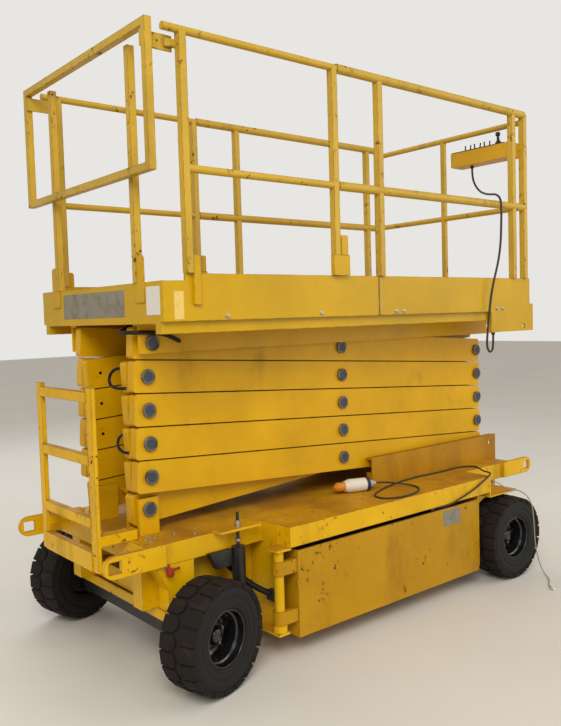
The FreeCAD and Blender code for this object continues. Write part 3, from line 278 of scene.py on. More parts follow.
# rubber and plastic with dust in patches
def softCase(name, base, dust, roughness, cover, scale=9.0, bump=0.3, fine=300.0, **values):
    material, tree, shader = startMaterial(name, **values)
    dusty = addPatches(tree, scale=scale, cover=cover, soft=0.35)
    colour = addMix(tree, dusty, base, dust)
    rough = addRange(tree, dusty, bottom=roughness, top=min(1, roughness + 0.3))
    height = placeGroup(tree, grain, scale=fine, waves=40.0)
    finishMaterial(tree, shader, colour, rough, height, strength=bump, distance=0.001)
    return material


# paints: colour, then dust, grime, rust, chips, and how far the grime runs down (1 is not at all)
paints = {
    "chassisPaint": ((228, 178, 5), 0.9, 0.46, 0.4, 0.8, 0.35),
    "doorPaint": ((190, 142, 6), 0.7, 0.46, 0.4, 0.7, 0.35),
    "armPaint": ((216, 166, 4), 0.75, 0.42, 0.22, 0.35, 0.6),
    "slidePaint": ((182, 130, 5), 0.85, 0.55, 0.34, 0.5, 0.35),
    "boardPaint": ((200, 158, 4), 0.6, 0.34, 0.28, 0.6, 0.35),
    "railPaint": ((198, 162, 52), 0.45, 0.44, 0.42, 0.7, 0.2),
    "boxPaint": ((206, 158, 34), 0.5, 0.4, 0.25, 0.5, 0.35),
}
# metals: colour, stain, roughness, metallic, and how much is stained
metals = {
    "pinSteel": ((74, 70, 70), (30, 26, 26), 0.42, 0.85, 0.6),
    "ringSteel": ((112, 106, 98), (66, 56, 44), 0.5, 0.6, 0.5),
    "zincPlate": ((186, 180, 164), (120, 96, 60), 0.38, 0.85, 0.42),
    "rodChrome": ((214, 214, 216), (150, 148, 146), 0.12, 1.0, 0.3),
}
# rubber, plastic and labels: colour, dust, roughness, how much is dusty, and what else differs
softCases = {
    "recessBlue": ((50, 58, 74), (44, 38, 36), 0.5, 0.42, {}),
    "axleBlack": ((26, 26, 27), (66, 54, 42), 0.45, 0.46, {}),
    "rimBlack": ((16, 16, 18), (46, 38, 32), 0.22, 0.34, {"Coat_Weight": 0.5}),
    "sidewallRubber": ((20, 19, 20), (44, 37, 32), 0.62, 0.4, {"bump": 0.4, "Specular_IOR_Level": 0.3}),
    "treadRubber": ((31, 26, 24), (66, 52, 41), 0.85, 0.44,
                    {"scale": 14.0, "bump": 0.6, "Specular_IOR_Level": 0.22}),
    "hydraulicBlack": ((28, 28, 30), (70, 56, 40), 0.4, 0.42, {}),
    "blackPlastic": ((24, 24, 26), (70, 62, 52), 0.5, 0.38, {}),
    "hoseRubber": ((17, 18, 20), (46, 39, 32), 0.5, 0.38, {"fine": 500.0, "Specular_IOR_Level": 0.3}),
    "leadRubber": ((42, 34, 30), (84, 64, 44), 0.6, 0.46, {}),
    "batteryCase": ((40, 42, 46), (92, 80, 64), 0.6, 0.5, {}),
    "powerCase": ((60, 62, 64), (96, 84, 66), 0.55, 0.5, {}),
    "whitePlastic": ((218, 214, 202), (168, 150, 120), 0.4, 0.36, {}),
    "valveRed": ((146, 36, 16), (96, 46, 22), 0.5, 0.42, {"Specular_IOR_Level": 0.3}),
    "labelGrey": ((132, 126, 112), (96, 86, 70), 0.5, 0.52, {"scale": 20.0, "bump": 0.1}),
    "labelWhite": ((216, 212, 204), (170, 154, 124), 0.45, 0.4, {"scale": 24.0, "bump": 0.1}),
    "labelCream": ((224, 192, 104), (184, 146, 60), 0.5, 0.5, {"scale": 24.0, "bump": 0.1}),
    "thinWhite": ((150, 140, 122), (104, 88, 66), 0.5, 0.45, {}),
}
finishes = {}
for name, (base, *amounts) in paints.items():
    finishes[name] = wornPaint(name, tone(*base), *amounts)
for name, (base, stain, *amounts) in metals.items():
    finishes[name] = plainMetal(name, tone(*base), tone(*stain), *amounts)
for name, (base, dust, roughness, cover, others) in softCases.items():
    finishes[name] = softCase(name, tone(*base), tone(*dust), roughness, cover, **others)
print("materials built:", len(finishes))

# what each node is finished with
packParts = ("inner_arm", "outer_arm", "pins")
stageParts = [f"{part}_{stage}" for part in packParts for stage in range(1, stages + 1)]
corners = ("front_near", "front_far", "rear_near", "rear_far")
finishNodes = {
    "chassisPaint": ["chassis_frame", "chassis_spines", "tow_plates", "front_guard", "ladder", "tray_posts"],
    "slidePaint": ["chassis_slides"],
    "armPaint": ["base_brackets", "base_pins", "platform_underframe", "platform_pins"] + stageParts,
    "doorPaint": ["near_tray", "far_tray"],
    "boardPaint": ["platform_deck", "extension_deck"],
    "railPaint": ["platform_rails", "gate", "extension_rails"],
    "boxPaint": ["control_box"],
    "pinSteel": ["top_rollers"],
    "rodChrome": ["lift_rod"],
    "hydraulicBlack": ["lift_barrel", "axle_locks"],
    "axleBlack": ["steer_axle", "knuckle_near", "knuckle_far", "drive_axle"],
    "batteryCase": ["battery_block"],
    "powerCase": ["power_block"],
    "blackPlastic": ["lead_glands", "control_glands"],
    "whitePlastic": ["charger_connector", "thin_plug"],
    "leadRubber": ["control_cable", "charger_lead"],
    "thinWhite": ["thin_lead"],
    "hoseRubber": ["hose_bundle"],
    "treadRubber": ["tyre_" + corner for corner in corners],
    "rimBlack": ["rim_" + corner for corner in corners],
}
for finish, names in finishNodes.items():
    for name in names:
        for slot in nodes[name].material_slots:
            slot.material = finishes[finish]


# modelling helpers
def clearAll():
    if bpy.context.mode != "OBJECT":
        bpy.ops.object.mode_set(mode="OBJECT")
    bpy.ops.object.select_all(action="DESELECT")


def pick(*pieces):
    clearAll()
    for piece in pieces:
        piece.select_set(True)
    bpy.context.view_layer.objects.active = pieces[0]


def finishPiece(piece, finish, body, angle=32):
    pick(piece)
    bpy.ops.object.transform_apply(location=True, rotation=True, scale=True)
    bpy.ops.object.shade_smooth_by_angle(angle=math.radians(angle))
    piece.data.materials.clear()
    piece.data.materials.append(finishes[finish])
    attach(piece, body)
    return piece


def softenEdges(piece, width, segments=2, angle=35):
    edge = piece.modifiers.new("edges", "BEVEL")
    edge.width = width
    edge.segments = segments
    edge.limit_method = "ANGLE"
    edge.angle_limit = math.radians(angle)
    pick(piece)
    bpy.ops.object.modifier_apply(modifier=edge.name)


def bevelChosen(piece, offset, segments, isChosen):
    # bevels the edges whose two ends pass the test
    bpy.ops.object.mode_set(mode="EDIT")
    bpy.ops.mesh.select_mode(type="EDGE")
    bpy.ops.mesh.select_all(action="DESELECT")
    bpy.ops.object.mode_set(mode="OBJECT")
    for edge in piece.data.edges:
        edge.select = isChosen(*(piece.data.vertices[end].co for end in edge.vertices))
    bpy.ops.object.mode_set(mode="EDIT")
    bpy.ops.mesh.bevel(offset=offset, segments=segments)
    bpy.ops.object.mode_set(mode="OBJECT")


def addCuboid(name, low, high):
    low, high = Vector(low), Vector(high)
    clearAll()
    bpy.ops.mesh.primitive_cube_add(size=1, location=(low + high) / 2, scale=high - low)
    piece = bpy.context.object
    piece.name = name
    bpy.ops.object.transform_apply(location=True, rotation=True, scale=True)
    return piece


def addBlock(name, low, high, edge=0.002, segments=2):
    piece = addCuboid(name, low, high)
    softenEdges(piece, edge, segments)
    return piece


def copyPiece(piece, matrix):
    twin = piece.copy()
    twin.data = piece.data.copy()
    bpy.context.scene.collection.objects.link(twin)
    twin.data.transform(matrix)
    return twin


def joinPieces(name, pieces):
    pick(*pieces)
    if len(pieces) > 1:
        bpy.ops.object.join()
    joined = bpy.context.object
    joined.name = name
    joined.data.name = name
    return joined


def turned(name, rings, sides=48, ends="FACE"):
    # turns a profile about Y: each ring is its place along Y and its radius
    clearAll()
    start, radius = rings[0]
    bpy.ops.mesh.primitive_circle_add(vertices=sides, radius=radius, location=(0, start, 0),
                                      rotation=(math.pi / 2, 0, 0))
    piece = bpy.context.object
    piece.name = name
    bpy.ops.object.transform_apply(location=True, rotation=True, scale=True)
    bpy.ops.object.mode_set(mode="EDIT")
    bpy.ops.mesh.select_mode(type="EDGE")
    bpy.ops.mesh.select_all(action="SELECT")
    if ends == "FACE":
        bpy.ops.mesh.edge_face_add()
    place = start
    for y, newRadius in rings[1:]:
        bpy.ops.mesh.extrude_edges_move(TRANSFORM_OT_translate={"value": (0, y - place, 0)})
        share = newRadius / radius
        bpy.ops.transform.resize(value=(share, 1, share), center_override=(0, y, 0))
        place, radius = y, newRadius
    if ends == "FACE":
        bpy.ops.mesh.edge_face_add()
    bpy.ops.mesh.select_all(action="SELECT")
    if ends == "LOOP":
        bpy.ops.mesh.remove_doubles(threshold=0.0001)
    bpy.ops.mesh.normals_make_consistent(inside=False)
    bpy.ops.object.mode_set(mode="OBJECT")
    return piece


def along(direction, place):
    # puts a piece that was turned about Y at a place, with its axis in a direction
    lean = Vector((0, 1, 0)).rotation_difference(Vector(direction))
    return Matrix.Translation(place) @ lean.to_matrix().to_4x4()


def smoothTube(name, points, radius, steps, roundness):
    # a round tube whose line is a smooth curve held by its points
    data = bpy.data.curves.new(name, "CURVE")
    data.dimensions = "3D"
    line = data.splines.new("NURBS")
    line.points.add(len(points) - 1)
    for point, place in zip(line.points, points):
        point.co = (*place, 1)
    line.order_u = 3
    line.use_endpoint_u = True
    line.resolution_u = steps
    data.bevel_depth = radius
    data.bevel_resolution = roundness
    data.use_fill_caps = True
    tube = bpy.data.objects.new(name, data)
    bpy.context.scene.collection.objects.link(tube)
    return tube


# loose leads and hoses, by the points that they follow, in metres
cords = {
    "control_cable": {
        "body": "extension", "diameter": 0.012, "length": 1.523, "finish": "leadRubber", "end": "object",
        "stiffness": "limp", "lay": "hanging", "slot": "cable_black",
        "route": [
            (1.140, -0.262, 2.358), (1.140, -0.262, 2.298), (1.118, -0.305, 2.238), (1.072, -0.370, 2.196),
            (1.018, -0.446, 2.170), (0.972, -0.510, 2.156), (0.936, -0.568, 2.147), (0.915, -0.612, 2.118),
            (0.908, -0.622, 2.058), (0.910, -0.618, 1.980), (0.913, -0.613, 1.900), (0.908, -0.607, 1.820),
            (0.890, -0.603, 1.745), (0.864, -0.600, 1.675), (0.842, -0.597, 1.600), (0.830, -0.594, 1.525),
            (0.820, -0.591, 1.450), (0.815, -0.588, 1.390), (0.811, -0.586, 1.342), (0.814, -0.584, 1.302),
            (0.840, -0.578, 1.276), (0.876, -0.570, 1.276), (0.902, -0.562, 1.302), (0.902, -0.562, 1.368)]},
    "charger_lead": {
        "body": "chassis", "diameter": 0.009, "length": 2.386, "finish": "leadRubber", "end": "connector",
        "stiffness": "medium", "lay": "loose", "slot": "lead_rubber",
        "route": [
            (0.322, -0.586, 0.493), (0.362, -0.589, 0.4925), (0.408, -0.600, 0.493), (0.455, -0.608, 0.499),
            (0.515, -0.609, 0.514), (0.580, -0.608, 0.527), (0.645, -0.6085, 0.545), (0.708, -0.609, 0.568),
            (0.765, -0.610, 0.592), (0.808, -0.602, 0.607), (0.838, -0.562, 0.602), (0.874, -0.506, 0.594),
            (0.912, -0.450, 0.597), (0.938, -0.396, 0.599), (0.918, -0.348, 0.5955), (0.860, -0.334, 0.5946),
            (0.780, -0.334, 0.5946), (0.700, -0.340, 0.5946), (0.610, -0.336, 0.5946),
            (0.520, -0.331, 0.5946), (0.430, -0.336, 0.5946), (0.350, -0.346, 0.5946),
            (0.270, -0.362, 0.5946), (0.190, -0.385, 0.5946), (0.115, -0.412, 0.5946),
            (0.045, -0.445, 0.5946), (0.002, -0.492, 0.5946), (0.008, -0.545, 0.5946),
            (0.055, -0.578, 0.5946), (0.120, -0.588, 0.5946), (0.190, -0.580, 0.5946),
            (0.255, -0.556, 0.5946), (0.305, -0.515, 0.5948), (0.320, -0.465, 0.597),
            (0.290, -0.425, 0.604), (0.240, -0.402, 0.614), (0.186, -0.382, 0.624), (0.136, -0.366, 0.6263)]},
    "thin_lead": {
        "body": "chassis", "diameter": 0.006, "length": 0.924, "finish": "thinWhite", "end": "plug",
        "stiffness": "limp", "lay": "hanging", "slot": "lead_rubber",
        "route": [
            (0.828, -0.588, 0.556), (0.868, -0.591, 0.549), (0.910, -0.597, 0.522), (0.950, -0.602, 0.497),
            (0.992, -0.611, 0.487), (1.030, -0.632, 0.478), (1.052, -0.664, 0.455), (1.060, -0.690, 0.413),
            (1.060, -0.702, 0.355), (1.057, -0.708, 0.290), (1.053, -0.714, 0.225), (1.052, -0.722, 0.160),
            (1.058, -0.732, 0.100), (1.068, -0.744, 0.050), (1.074, -0.762, 0.014), (1.062, -0.790, 0.004),
            (1.025, -0.822, 0.0034), (0.982, -0.845, 0.0034), (0.948, -0.866, 0.0034),
            (0.930, -0.890, 0.0034)]},
    "hose_bundle": {
        "body": "chassis", "diameter": 0.028, "length": 0.315, "finish": "hoseRubber", "end": "object",
        "stiffness": "stiff", "lay": "taut", "slot": "hose_rubber",
        "route": [
            (-0.872, -0.347, 0.466), (-0.826, -0.378, 0.416), (-0.780, -0.416, 0.356),
            (-0.729, -0.458, 0.306), (-0.675, -0.496, 0.274)]},
}


def addCord(name, settings):
    piece = smoothTube(name + "Tube", settings["route"], settings["diameter"] / 2, steps=8, roundness=4)
    piece.data.materials.append(finishes[settings["finish"]])
    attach(piece, settings["body"])
    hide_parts(name)


# the charging connector is one turned case, coloured in bands along its axis
connector = {
    "bands": [(0.000, "clearGrey"), (0.044, "darkBlue"), (0.062, "white"), (0.182, "orange")],
    "length": 0.240,
    "clearGrey": tone(168, 166, 160),
    "darkBlue": tone(30, 44, 62),
    "white": tone(220, 216, 204),
    "orange": tone(206, 132, 26),
    "grime": tone(140, 122, 92),
}


def finishConnector():
    route = cords["charger_lead"]["route"]
    start = Vector(route[-1])
    direction = start - Vector(route[-2])
    direction.z = 0
    direction.normalize()
    material, tree, shader = startMaterial("connectorCase", Coat_Weight=0.15)
    place = addNode(tree, "TexCoord").outputs["Object"]
    moved = addVector(tree, "SUBTRACT", place, start)[0]
    reach = addVector(tree, "DOT_PRODUCT", moved, direction)["Value"]
    share = addNode(tree, "Math", {0: reach, 1: connector["length"]}, operation="DIVIDE").outputs[0]
    ramp = addNode(tree, "ValToRGB", {0: share})
    ramp.color_ramp.interpolation = "CONSTANT"
    while len(ramp.color_ramp.elements) < len(connector["bands"]):
        ramp.color_ramp.elements.new(1)
    for stop, (distance, colour) in zip(ramp.color_ramp.elements, connector["bands"]):
        stop.position = distance / connector["length"]
        stop.color = connector[colour]
    dirty = addPatches(tree, scale=26.0, cover=0.42, soft=0.3)
    colour = addMix(tree, dirty, ramp.outputs[0], connector["grime"])
    rough = addRange(tree, dirty, bottom=0.35, top=0.7)
    height = placeGroup(tree, grain, scale=300.0, waves=60.0)
    finishMaterial(tree, shader, colour, rough, height, strength=0.2, distance=0.0008)
    for slot in nodes["charger_connector"].material_slots:
        slot.material = material


# the thin lead's plug lies on the floor in line with its end: a sleeve, a grip and a stepped front
thinPlug = {
    "rings": [(0.000, 0.004), (0.002, 0.0065), (0.010, 0.0075), (0.012, 0.0088), (0.028, 0.0088),
              (0.030, 0.0075), (0.034, 0.007)],
    "lift": 0.006,
}


def addThinPlug():
    route = cords["thin_lead"]["route"]
    start = Vector(route[-1])
    direction = (start - Vector(route[-2])).normalized()
    plug = turned("thin_plug_body", thinPlug["rings"], sides=24)
    plug.data.transform(along(direction, start + Vector((0, 0, thinPlug["lift"]))))
    finishPiece(plug, "whitePlastic", "chassis")
    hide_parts("thin_plug")
    return plug


finishConnector()
cordPieces = {
    "control_cable": [nodes["control_glands"]],
    "charger_lead": [nodes["charger_connector"]],
    "thin_lead": [addThinPlug(), nodes["lead_glands"]],
    "hose_bundle": [],
}
for name, settings in cords.items():
    addCord(name, settings)
print("cords laid")


def hexBolt(name, radius, height, stud):
    # a washer, a six-sided head and the stud's end, built up along Y
    washerRings = [(0, radius * 1.3), (height * 0.12, radius * 1.3), (height * 0.16, radius * 1.2)]
    headRings = [(height * 0.14, radius), (height * 0.92, radius), (height, radius * 0.86)]
    studRings = [(height * 0.9, stud * 0.98), (height * 1.5, stud * 0.98), (height * 1.58, stud * 0.7)]
    parts = [turned(name + "Washer", washerRings, sides=20), turned(name, headRings, sides=6),
             turned(name + "Stud", studRings, sides=16)]
    return joinPieces(name, parts)


# tyres and rims, made once about Y and copied to each wheel
wheel = {
    "parked": math.radians(15),  # the steered wheels' turn at rest
    "treadDepth": 0.010,
    "blocksAround": 20,
    "blockGap": 0.008,
    "blockRoot": 0.004,  # how far a block reaches into the carcass
    "blockCorner": 0.016,
    "blockEdge": 0.0022,
    "shoulderDrop": 0.004,
    "footDrop": 0.010,
    # the tyre's outline on one side: share of its half width, and drop below the tread's floor
    "shoulder": [(0.55, 0.0), (0.80, 0.002), (0.92, 0.010), (0.985, 0.026), (1.0, 0.040), (0.995, 0.052),
                 (0.965, 0.056), (0.965, 0.062), (0.985, 0.066), (0.975, 0.078), (0.94, 0.084),
                 (0.94, 0.088), (0.955, 0.092), (0.90, 0.100)],
    "beadShare": 0.86,
    "carcassEdge": 0.0015,
    "dishEdge": 0.0012,
    "capEdge": 0.001,
    "nuts": 8,
    "nutCircle": 0.080,
    "nutRadius": 0.010,
    "nutHeight": 0.012,
    "studRadius": 0.006,
    "dishFace": -0.030,
    "dishBore": 0.0264,
    "cap": [(-0.004, 0.040), (0.006, 0.040), (0.010, 0.034), (0.022, 0.031), (0.028, 0.026),
            (0.030, 0.012), (0.027, 0.006)],
}
tyreLow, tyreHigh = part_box("tyre_rear_near")
rimLow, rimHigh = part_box("rim_rear_near")


def addCarcass():
    half = (tyreHigh.y - tyreLow.y) / 2
    base = (tyreHigh.z - tyreLow.z) / 2 - wheel["treadDepth"]
    bead = (rimHigh.z - rimLow.z) / 2
    shoulder = wheel["shoulder"] + [(wheel["beadShare"], base - bead - 0.001)]
    rings = [(-half * share, base - drop) for share, drop in reversed(shoulder)]
    rings += [(half * share, base - drop) for share, drop in shoulder]
    tyre = turned("tyreCarcass", rings + rings[:1], sides=96, ends="LOOP")
    softenEdges(tyre, wheel["carcassEdge"], segments=1, angle=50)
    return tyre


def addTread():
    # one block of the tread, with cut corners, copied round in two staggered rows
    radius, half = (tyreHigh.z - tyreLow.z) / 2, (tyreHigh.y - tyreLow.y) / 2
    base = radius - wheel["treadDepth"]
    count, gap = wheel["blocksAround"], wheel["blockGap"]
    long = 2 * math.pi * base / count - gap
    top = math.sqrt(radius ** 2 - (long / 2) ** 2)
    block = addCuboid("block", (-long / 2, -half, base - wheel["blockRoot"]), (long / 2, -gap / 2, top))

    def isInnerCorner(first, second):
        return abs(first.z - second.z) > 0.001 and first.y > -half / 2

    bevelChosen(block, wheel["blockCorner"], 1, isInnerCorner)
    softenEdges(block, wheel["blockEdge"], angle=30)
    # the outer end drops over the shoulder
    for vertex in block.data.vertices:
        if vertex.co.y < -half * 0.9:
            vertex.co.z -= wheel["shoulderDrop"]
            if vertex.co.z < base:
                vertex.co.z -= wheel["footDrop"]
                vertex.co.y += 0.001
    blocks = []
    cornerTurn = math.asin(long / 2 / radius)  # a block's corner stands on the floor
    for row, mirror in enumerate((1, -1)):
        for step in range(count):
            turn = Matrix.Rotation(2 * math.pi * (step + row / 2) / count + cornerTurn, 4, "Y")
            blocks.append(copyPiece(block, turn @ Matrix.Diagonal((1, mirror, 1, 1))))
            if mirror < 0:
                blocks[-1].data.flip_normals()
    bpy.data.objects.remove(block)
    return joinPieces("treadBlocks", blocks)


def addDish():
    # both lips, the barrel between them and the dish with its hub opening
    radius, half = (rimHigh.z - rimLow.z) / 2, (rimHigh.y - rimLow.y) / 2
    face, bore = wheel["dishFace"], wheel["dishBore"]
    rings = [(-half, radius - 0.006), (-half, radius - 0.001), (-half + 0.004, radius),
             (-half + 0.012, radius - 0.001), (half - 0.012, radius - 0.001), (half - 0.004, radius),
             (half, radius - 0.001), (half, radius - 0.006), (half - 0.010, radius - 0.008),
             (half - 0.030, radius - 0.012), (half - 0.034, radius - 0.020), (-0.022, radius - 0.022),
             (face, radius - 0.030), (face, 0.070), (-0.024, 0.064), (-0.004, 0.060), (0.000, 0.056),
             (0.000, bore), (-0.033, bore), (-0.033, 0.064), (-0.036, radius - 0.020),
             (-half + 0.010, radius - 0.008)]
    dish = turned("rimDish", rings + rings[:1], sides=72, ends="LOOP")
    softenEdges(dish, wheel["dishEdge"], angle=40)
    return dish


def addWheelNuts():
    nut = hexBolt("wheelNut", wheel["nutRadius"], wheel["nutHeight"], wheel["studRadius"])
    nuts = []
    for step in range(wheel["nuts"]):
        angle = 2 * math.pi * step / wheel["nuts"]
        spot = Vector((math.cos(angle), 0, math.sin(angle))) * wheel["nutCircle"]
        nuts.append(copyPiece(nut, Matrix.Translation(spot + Vector((0, wheel["dishFace"], 0)))))
    bpy.data.objects.remove(nut)
    return joinPieces("rimNuts", nuts)


def addCap():
    cap = turned("hubCap", wheel["cap"], sides=40)
    softenEdges(cap, wheel["capEdge"], segments=1, angle=40)
    return cap


# each wheel's piece: its name, master, finish, slot and the angle up to which it shades smooth
wheelPieces = [
    ("carcass_", addCarcass(), "sidewallRubber", "tyre_rubber", 40),
    ("tread_", addTread(), "treadRubber", "tyre_rubber", 32),
    ("dish_", addDish(), "rimBlack", "rim_black", 40),
    ("nuts_", addWheelNuts(), "zincPlate", "rim_black", 32),
    ("cap_", addCap(), "rimBlack", "rim_black", 32),
]
replacedNodes = {"carcass_": "tyre_", "dish_": "rim_"}
for corner in corners:
    low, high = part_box("rim_" + corner)
    turn = wheel["parked"] if corner.startswith("front") else 0
    if corner.endswith("near"):
        turn += math.pi
    place = Matrix.Translation((low + high) / 2) @ Matrix.Rotation(turn, 4, "Z")
    for word, master, finish, slot, angle in wheelPieces:
        piece = finishPiece(copyPiece(master, place), finish, "wheel_" + corner, angle)
        piece.name = word + corner
        if word in replacedNodes:
            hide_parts(replacedNodes[word] + corner)
for word, master, *rest in wheelPieces:
    bpy.data.objects.remove(master)
print("wheels made")


def toBothSides(master, places):
    # a copy at each place, pointing to the near side, and its mirror on the other side
    return [copyPiece(master, along((0, -side, 0), (x, y * side, z)))
            for x, y, z in places for side in (1, -1)]


# steel rings and recessed ends on the scissor pins, and a small dark steel disc on each pin's inner end:
# painted shade standing for the dark bore there
pinEnd = {"outer": 0.0325, "inner": 0.0215, "proud": 0.0025, "root": -0.008, "hole": 0.0075}


def addPinEnds():
    outer, inner, proud, root = pinEnd["outer"], pinEnd["inner"], pinEnd["proud"], pinEnd["root"]
    ringRings = [(root, outer - 0.001), (proud * 0.4, outer), (proud, outer - 0.002),
                 (proud, inner + 0.001), (proud * 0.3, inner), (root, inner)]
    ring = turned("pinRing", ringRings + ringRings[:1], sides=36, ends="LOOP")
    coreRings = [(-0.004, inner * 0.99), (0.0006, inner * 0.98), (0.0012, inner * 0.6),
                 (0.0005, inner * 0.45), (0.0005, inner * 0.2)]
    core = turned("pinCore", coreRings, sides=28)
    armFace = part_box("pins_2")[0].y
    spots = {"chassis": [(-halfSpan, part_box("base_pins")[0].y, level(0))],
             "platform": [(-halfSpan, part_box("platform_pins")[0].y, level(stages))]}
    for stage in range(1, stages + 1):
        places = [(0, armFace, level(stage - 0.5))]
        if stage > 1:
            places.append((halfSpan, armFace, level(stage - 1)))
        if stage < stages:
            places.append((-halfSpan, armFace, level(stage)))
        spots[f"outer_{stage}"] = places
    for body, places in spots.items():
        for master, label, finish in ((ring, "pin_rings", "ringSteel"), (core, "pin_cores", "recessBlue")):
            made = joinPieces(f"{label}_{body}", toBothSides(master, places))
            finishPiece(made, finish, body)
    bpy.data.objects.remove(ring)
    bpy.data.objects.remove(core)

    # a thin dark disc, not a cut: painted shade for the bore in each pin's inner end
    hole = turned("pinBoreShade", [(0, pinEnd["hole"]), (0.0008, pinEnd["hole"]), (0.0012, 0.006)], sides=20)
    for stage in range(2, stages + 1):
        innerEnd = min(abs(vertex.co.y) for vertex in nodes[f"pins_{stage}"].data.vertices)
        places = [(x, innerEnd, z) for x, y, z in spots[f"outer_{stage}"]]
        made = joinPieces(f"pin_holes_{stage}", toBothSides(hole, places))
        finishPiece(made, "pinSteel", f"outer_{stage}")
    bpy.data.objects.remove(hole)


addPinEnds()
print("pins finished")


# blank plates and labels: the span along their face, the rise, how far they stand out and their finish
endPlates = {
    "end_label_grey": ((-0.262, 0.330), (1.520, 1.632), 0.0012, "labelGrey"),
    "end_label_white": ((-0.545, -0.442), (1.524, 1.636), 0.0012, "labelWhite"),
}
sidePlates = {  # the last column is the body that each is on
    "side_label_cream": ((-1.171, -1.127), (1.504, 1.614), 0.0012, "labelCream", "platform"),
    "slide_edge": ((-0.0195, 0.008), (1.500, 1.682), 0.0025, "railPaint", "extension"),
}
doorPlate = {"span": (0.392, 0.532), "rise": (0.386, 0.468), "proud": 0.0015}


def addPlates():
    span, rise = doorPlate["span"], doorPlate["rise"]
    plate = addBlock("door_plate", (span[0], deckEdge - doorPlate["proud"], rise[0]),
                     (span[1], deckEdge + backing, rise[1]), 0.0006, 1)
    finishPiece(plate, "labelGrey", "near_tray")
    for name, (span, rise, proud, finish) in endPlates.items():
        plate = addBlock(name, (platformEnd - proud, span[0], rise[0]),
                         (platformEnd + backing, span[1], rise[1]), 0.0005, 1)
        finishPiece(plate, finish, "platform")
    for name, (span, rise, proud, finish, body) in sidePlates.items():
        plate = addBlock(name, (span[0], platformNear - proud, rise[0]),
                         (span[1], platformNear + backing, rise[1]), 0.0005, 1)
        finishPiece(plate, finish, body)


addPlates()


# plates with round upper corners that stand beside the posts' feet
cheeks = {
    "sides": {  # the span along the side, the rise, how far they stand out, and the corner's radius
        "corner_cheek": ((-1.0835, -1.052), (1.560, 1.757), 0.015, 0.014),
        "lock_box": ((-0.334, -0.234), (1.684, 1.776), 0.023, 0.003),
        "lock_cheek": ((-0.2835, -0.241), (1.7762, 1.866), 0.021, 0.010),
    },
    "end": ((-0.437, -0.364), (1.575, 1.764), 0.006, 0.018),
    "edge": 0.001,
}


def addCheek(name, low, high, corner):
    cheek = addCuboid(name, low, high)
    through = 1 if high[0] - low[0] > high[1] - low[1] else 0

    def isUpperCorner(first, second):
        return min(first.z, second.z) > high[2] - 0.0001 and abs((first - second)[through]) > 0.0001

    bevelChosen(cheek, corner, 6, isUpperCorner)
    softenEdges(cheek, cheeks["edge"], segments=1)
    finishPiece(cheek, "boardPaint", "platform")


def addCheeks():
    for name, ((start, stop), (foot, top), proud, corner) in cheeks["sides"].items():
        addCheek(name + "_near", (start, platformNear - proud, foot), (stop, platformNear, top), corner)
        addCheek(name + "_far", (start, -platformNear, foot), (stop, proud - platformNear, top), corner)
    (start, stop), (foot, top), proud, corner = cheeks["end"]
    for word, first, second in (("near", start, stop), ("far", -stop, -start)):
        low, high = (platformEnd - proud, first, foot), (platformEnd, second, top)
        addCheek("end_cheek_" + word, low, high, corner)


addCheeks()

# control box: toggles with boots, a joystick and a dark plate under them
panel = {
    "toggles": 6,
    "pitch": 0.034,
    "toggleStart": -0.235,
    "stickPlace": -0.465,
    "outward": 0.030,  # how far the row lies from the box's middle
    "leanAlong": (-0.12, 0.15),  # by turns, so that the toggles don't stand alike
    "leanAcross": 0.05,
    "stickLean": (0.05, 0.08, 1),
    "boot": [(0, 0.011), (0.004, 0.011), (0.007, 0.007), (0.011, 0.006), (0.014, 0.0042), (0.030, 0.0036),
             (0.033, 0.005), (0.037, 0.003)],
    "stick": [(0, 0.024), (0.005, 0.024), (0.010, 0.020), (0.020, 0.014), (0.030, 0.008),
              (0.052, 0.0075), (0.056, 0.013), (0.070, 0.014), (0.075, 0.009)],
    "border": 0.008,
    "blankEnd": 0.030,
    "plate": 0.003,
}


def addControls():
    low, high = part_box("control_box")
    row = (low.x + high.x) / 2 - panel["outward"]
    seat = high.z - 0.001
    parts = []
    boot = turned("boot", panel["boot"], sides=20)
    for count in range(panel["toggles"]):
        lean = (panel["leanAlong"][count % 2], panel["leanAcross"] * (count % 3 - 1), 1)
        spot = (row, panel["toggleStart"] - panel["pitch"] * count, seat)
        parts.append(copyPiece(boot, along(lean, spot)))
    bpy.data.objects.remove(boot)
    stick = turned("stick", panel["stick"], sides=28)
    parts.append(copyPiece(stick, along(panel["stickLean"], (row, panel["stickPlace"], seat))))
    bpy.data.objects.remove(stick)
    finishPiece(joinPieces("levers", parts), "blackPlastic", "extension")
    border = panel["border"]
    plate = addBlock("panel_plate", (low.x + border, low.y + panel["blankEnd"], high.z),
                     (high.x - border, high.y - border, high.z + panel["plate"]), 0.001)
    finishPiece(plate, "blackPlastic", "extension")


addControls()
print("plates and controls made")


# bolts on the deck beside the ladder's arms, and on the platform's boards
bolts = {
    "radius": 0.0085,
    "height": 0.008,
    "stud": 0.004,
    "ladderInset": 0.025,
    "deck": [(-1.190, 0.055), (-1.150, 0.055), (-1.190, 0.095), (-1.060, 0.070), (-0.995, 0.130)],
    "boardHeight": 1.512,
    "slidingBoard": (0.10, 0.155, 0.93, 0.985),
    "fixedBoard": (-0.40, -0.92),
}


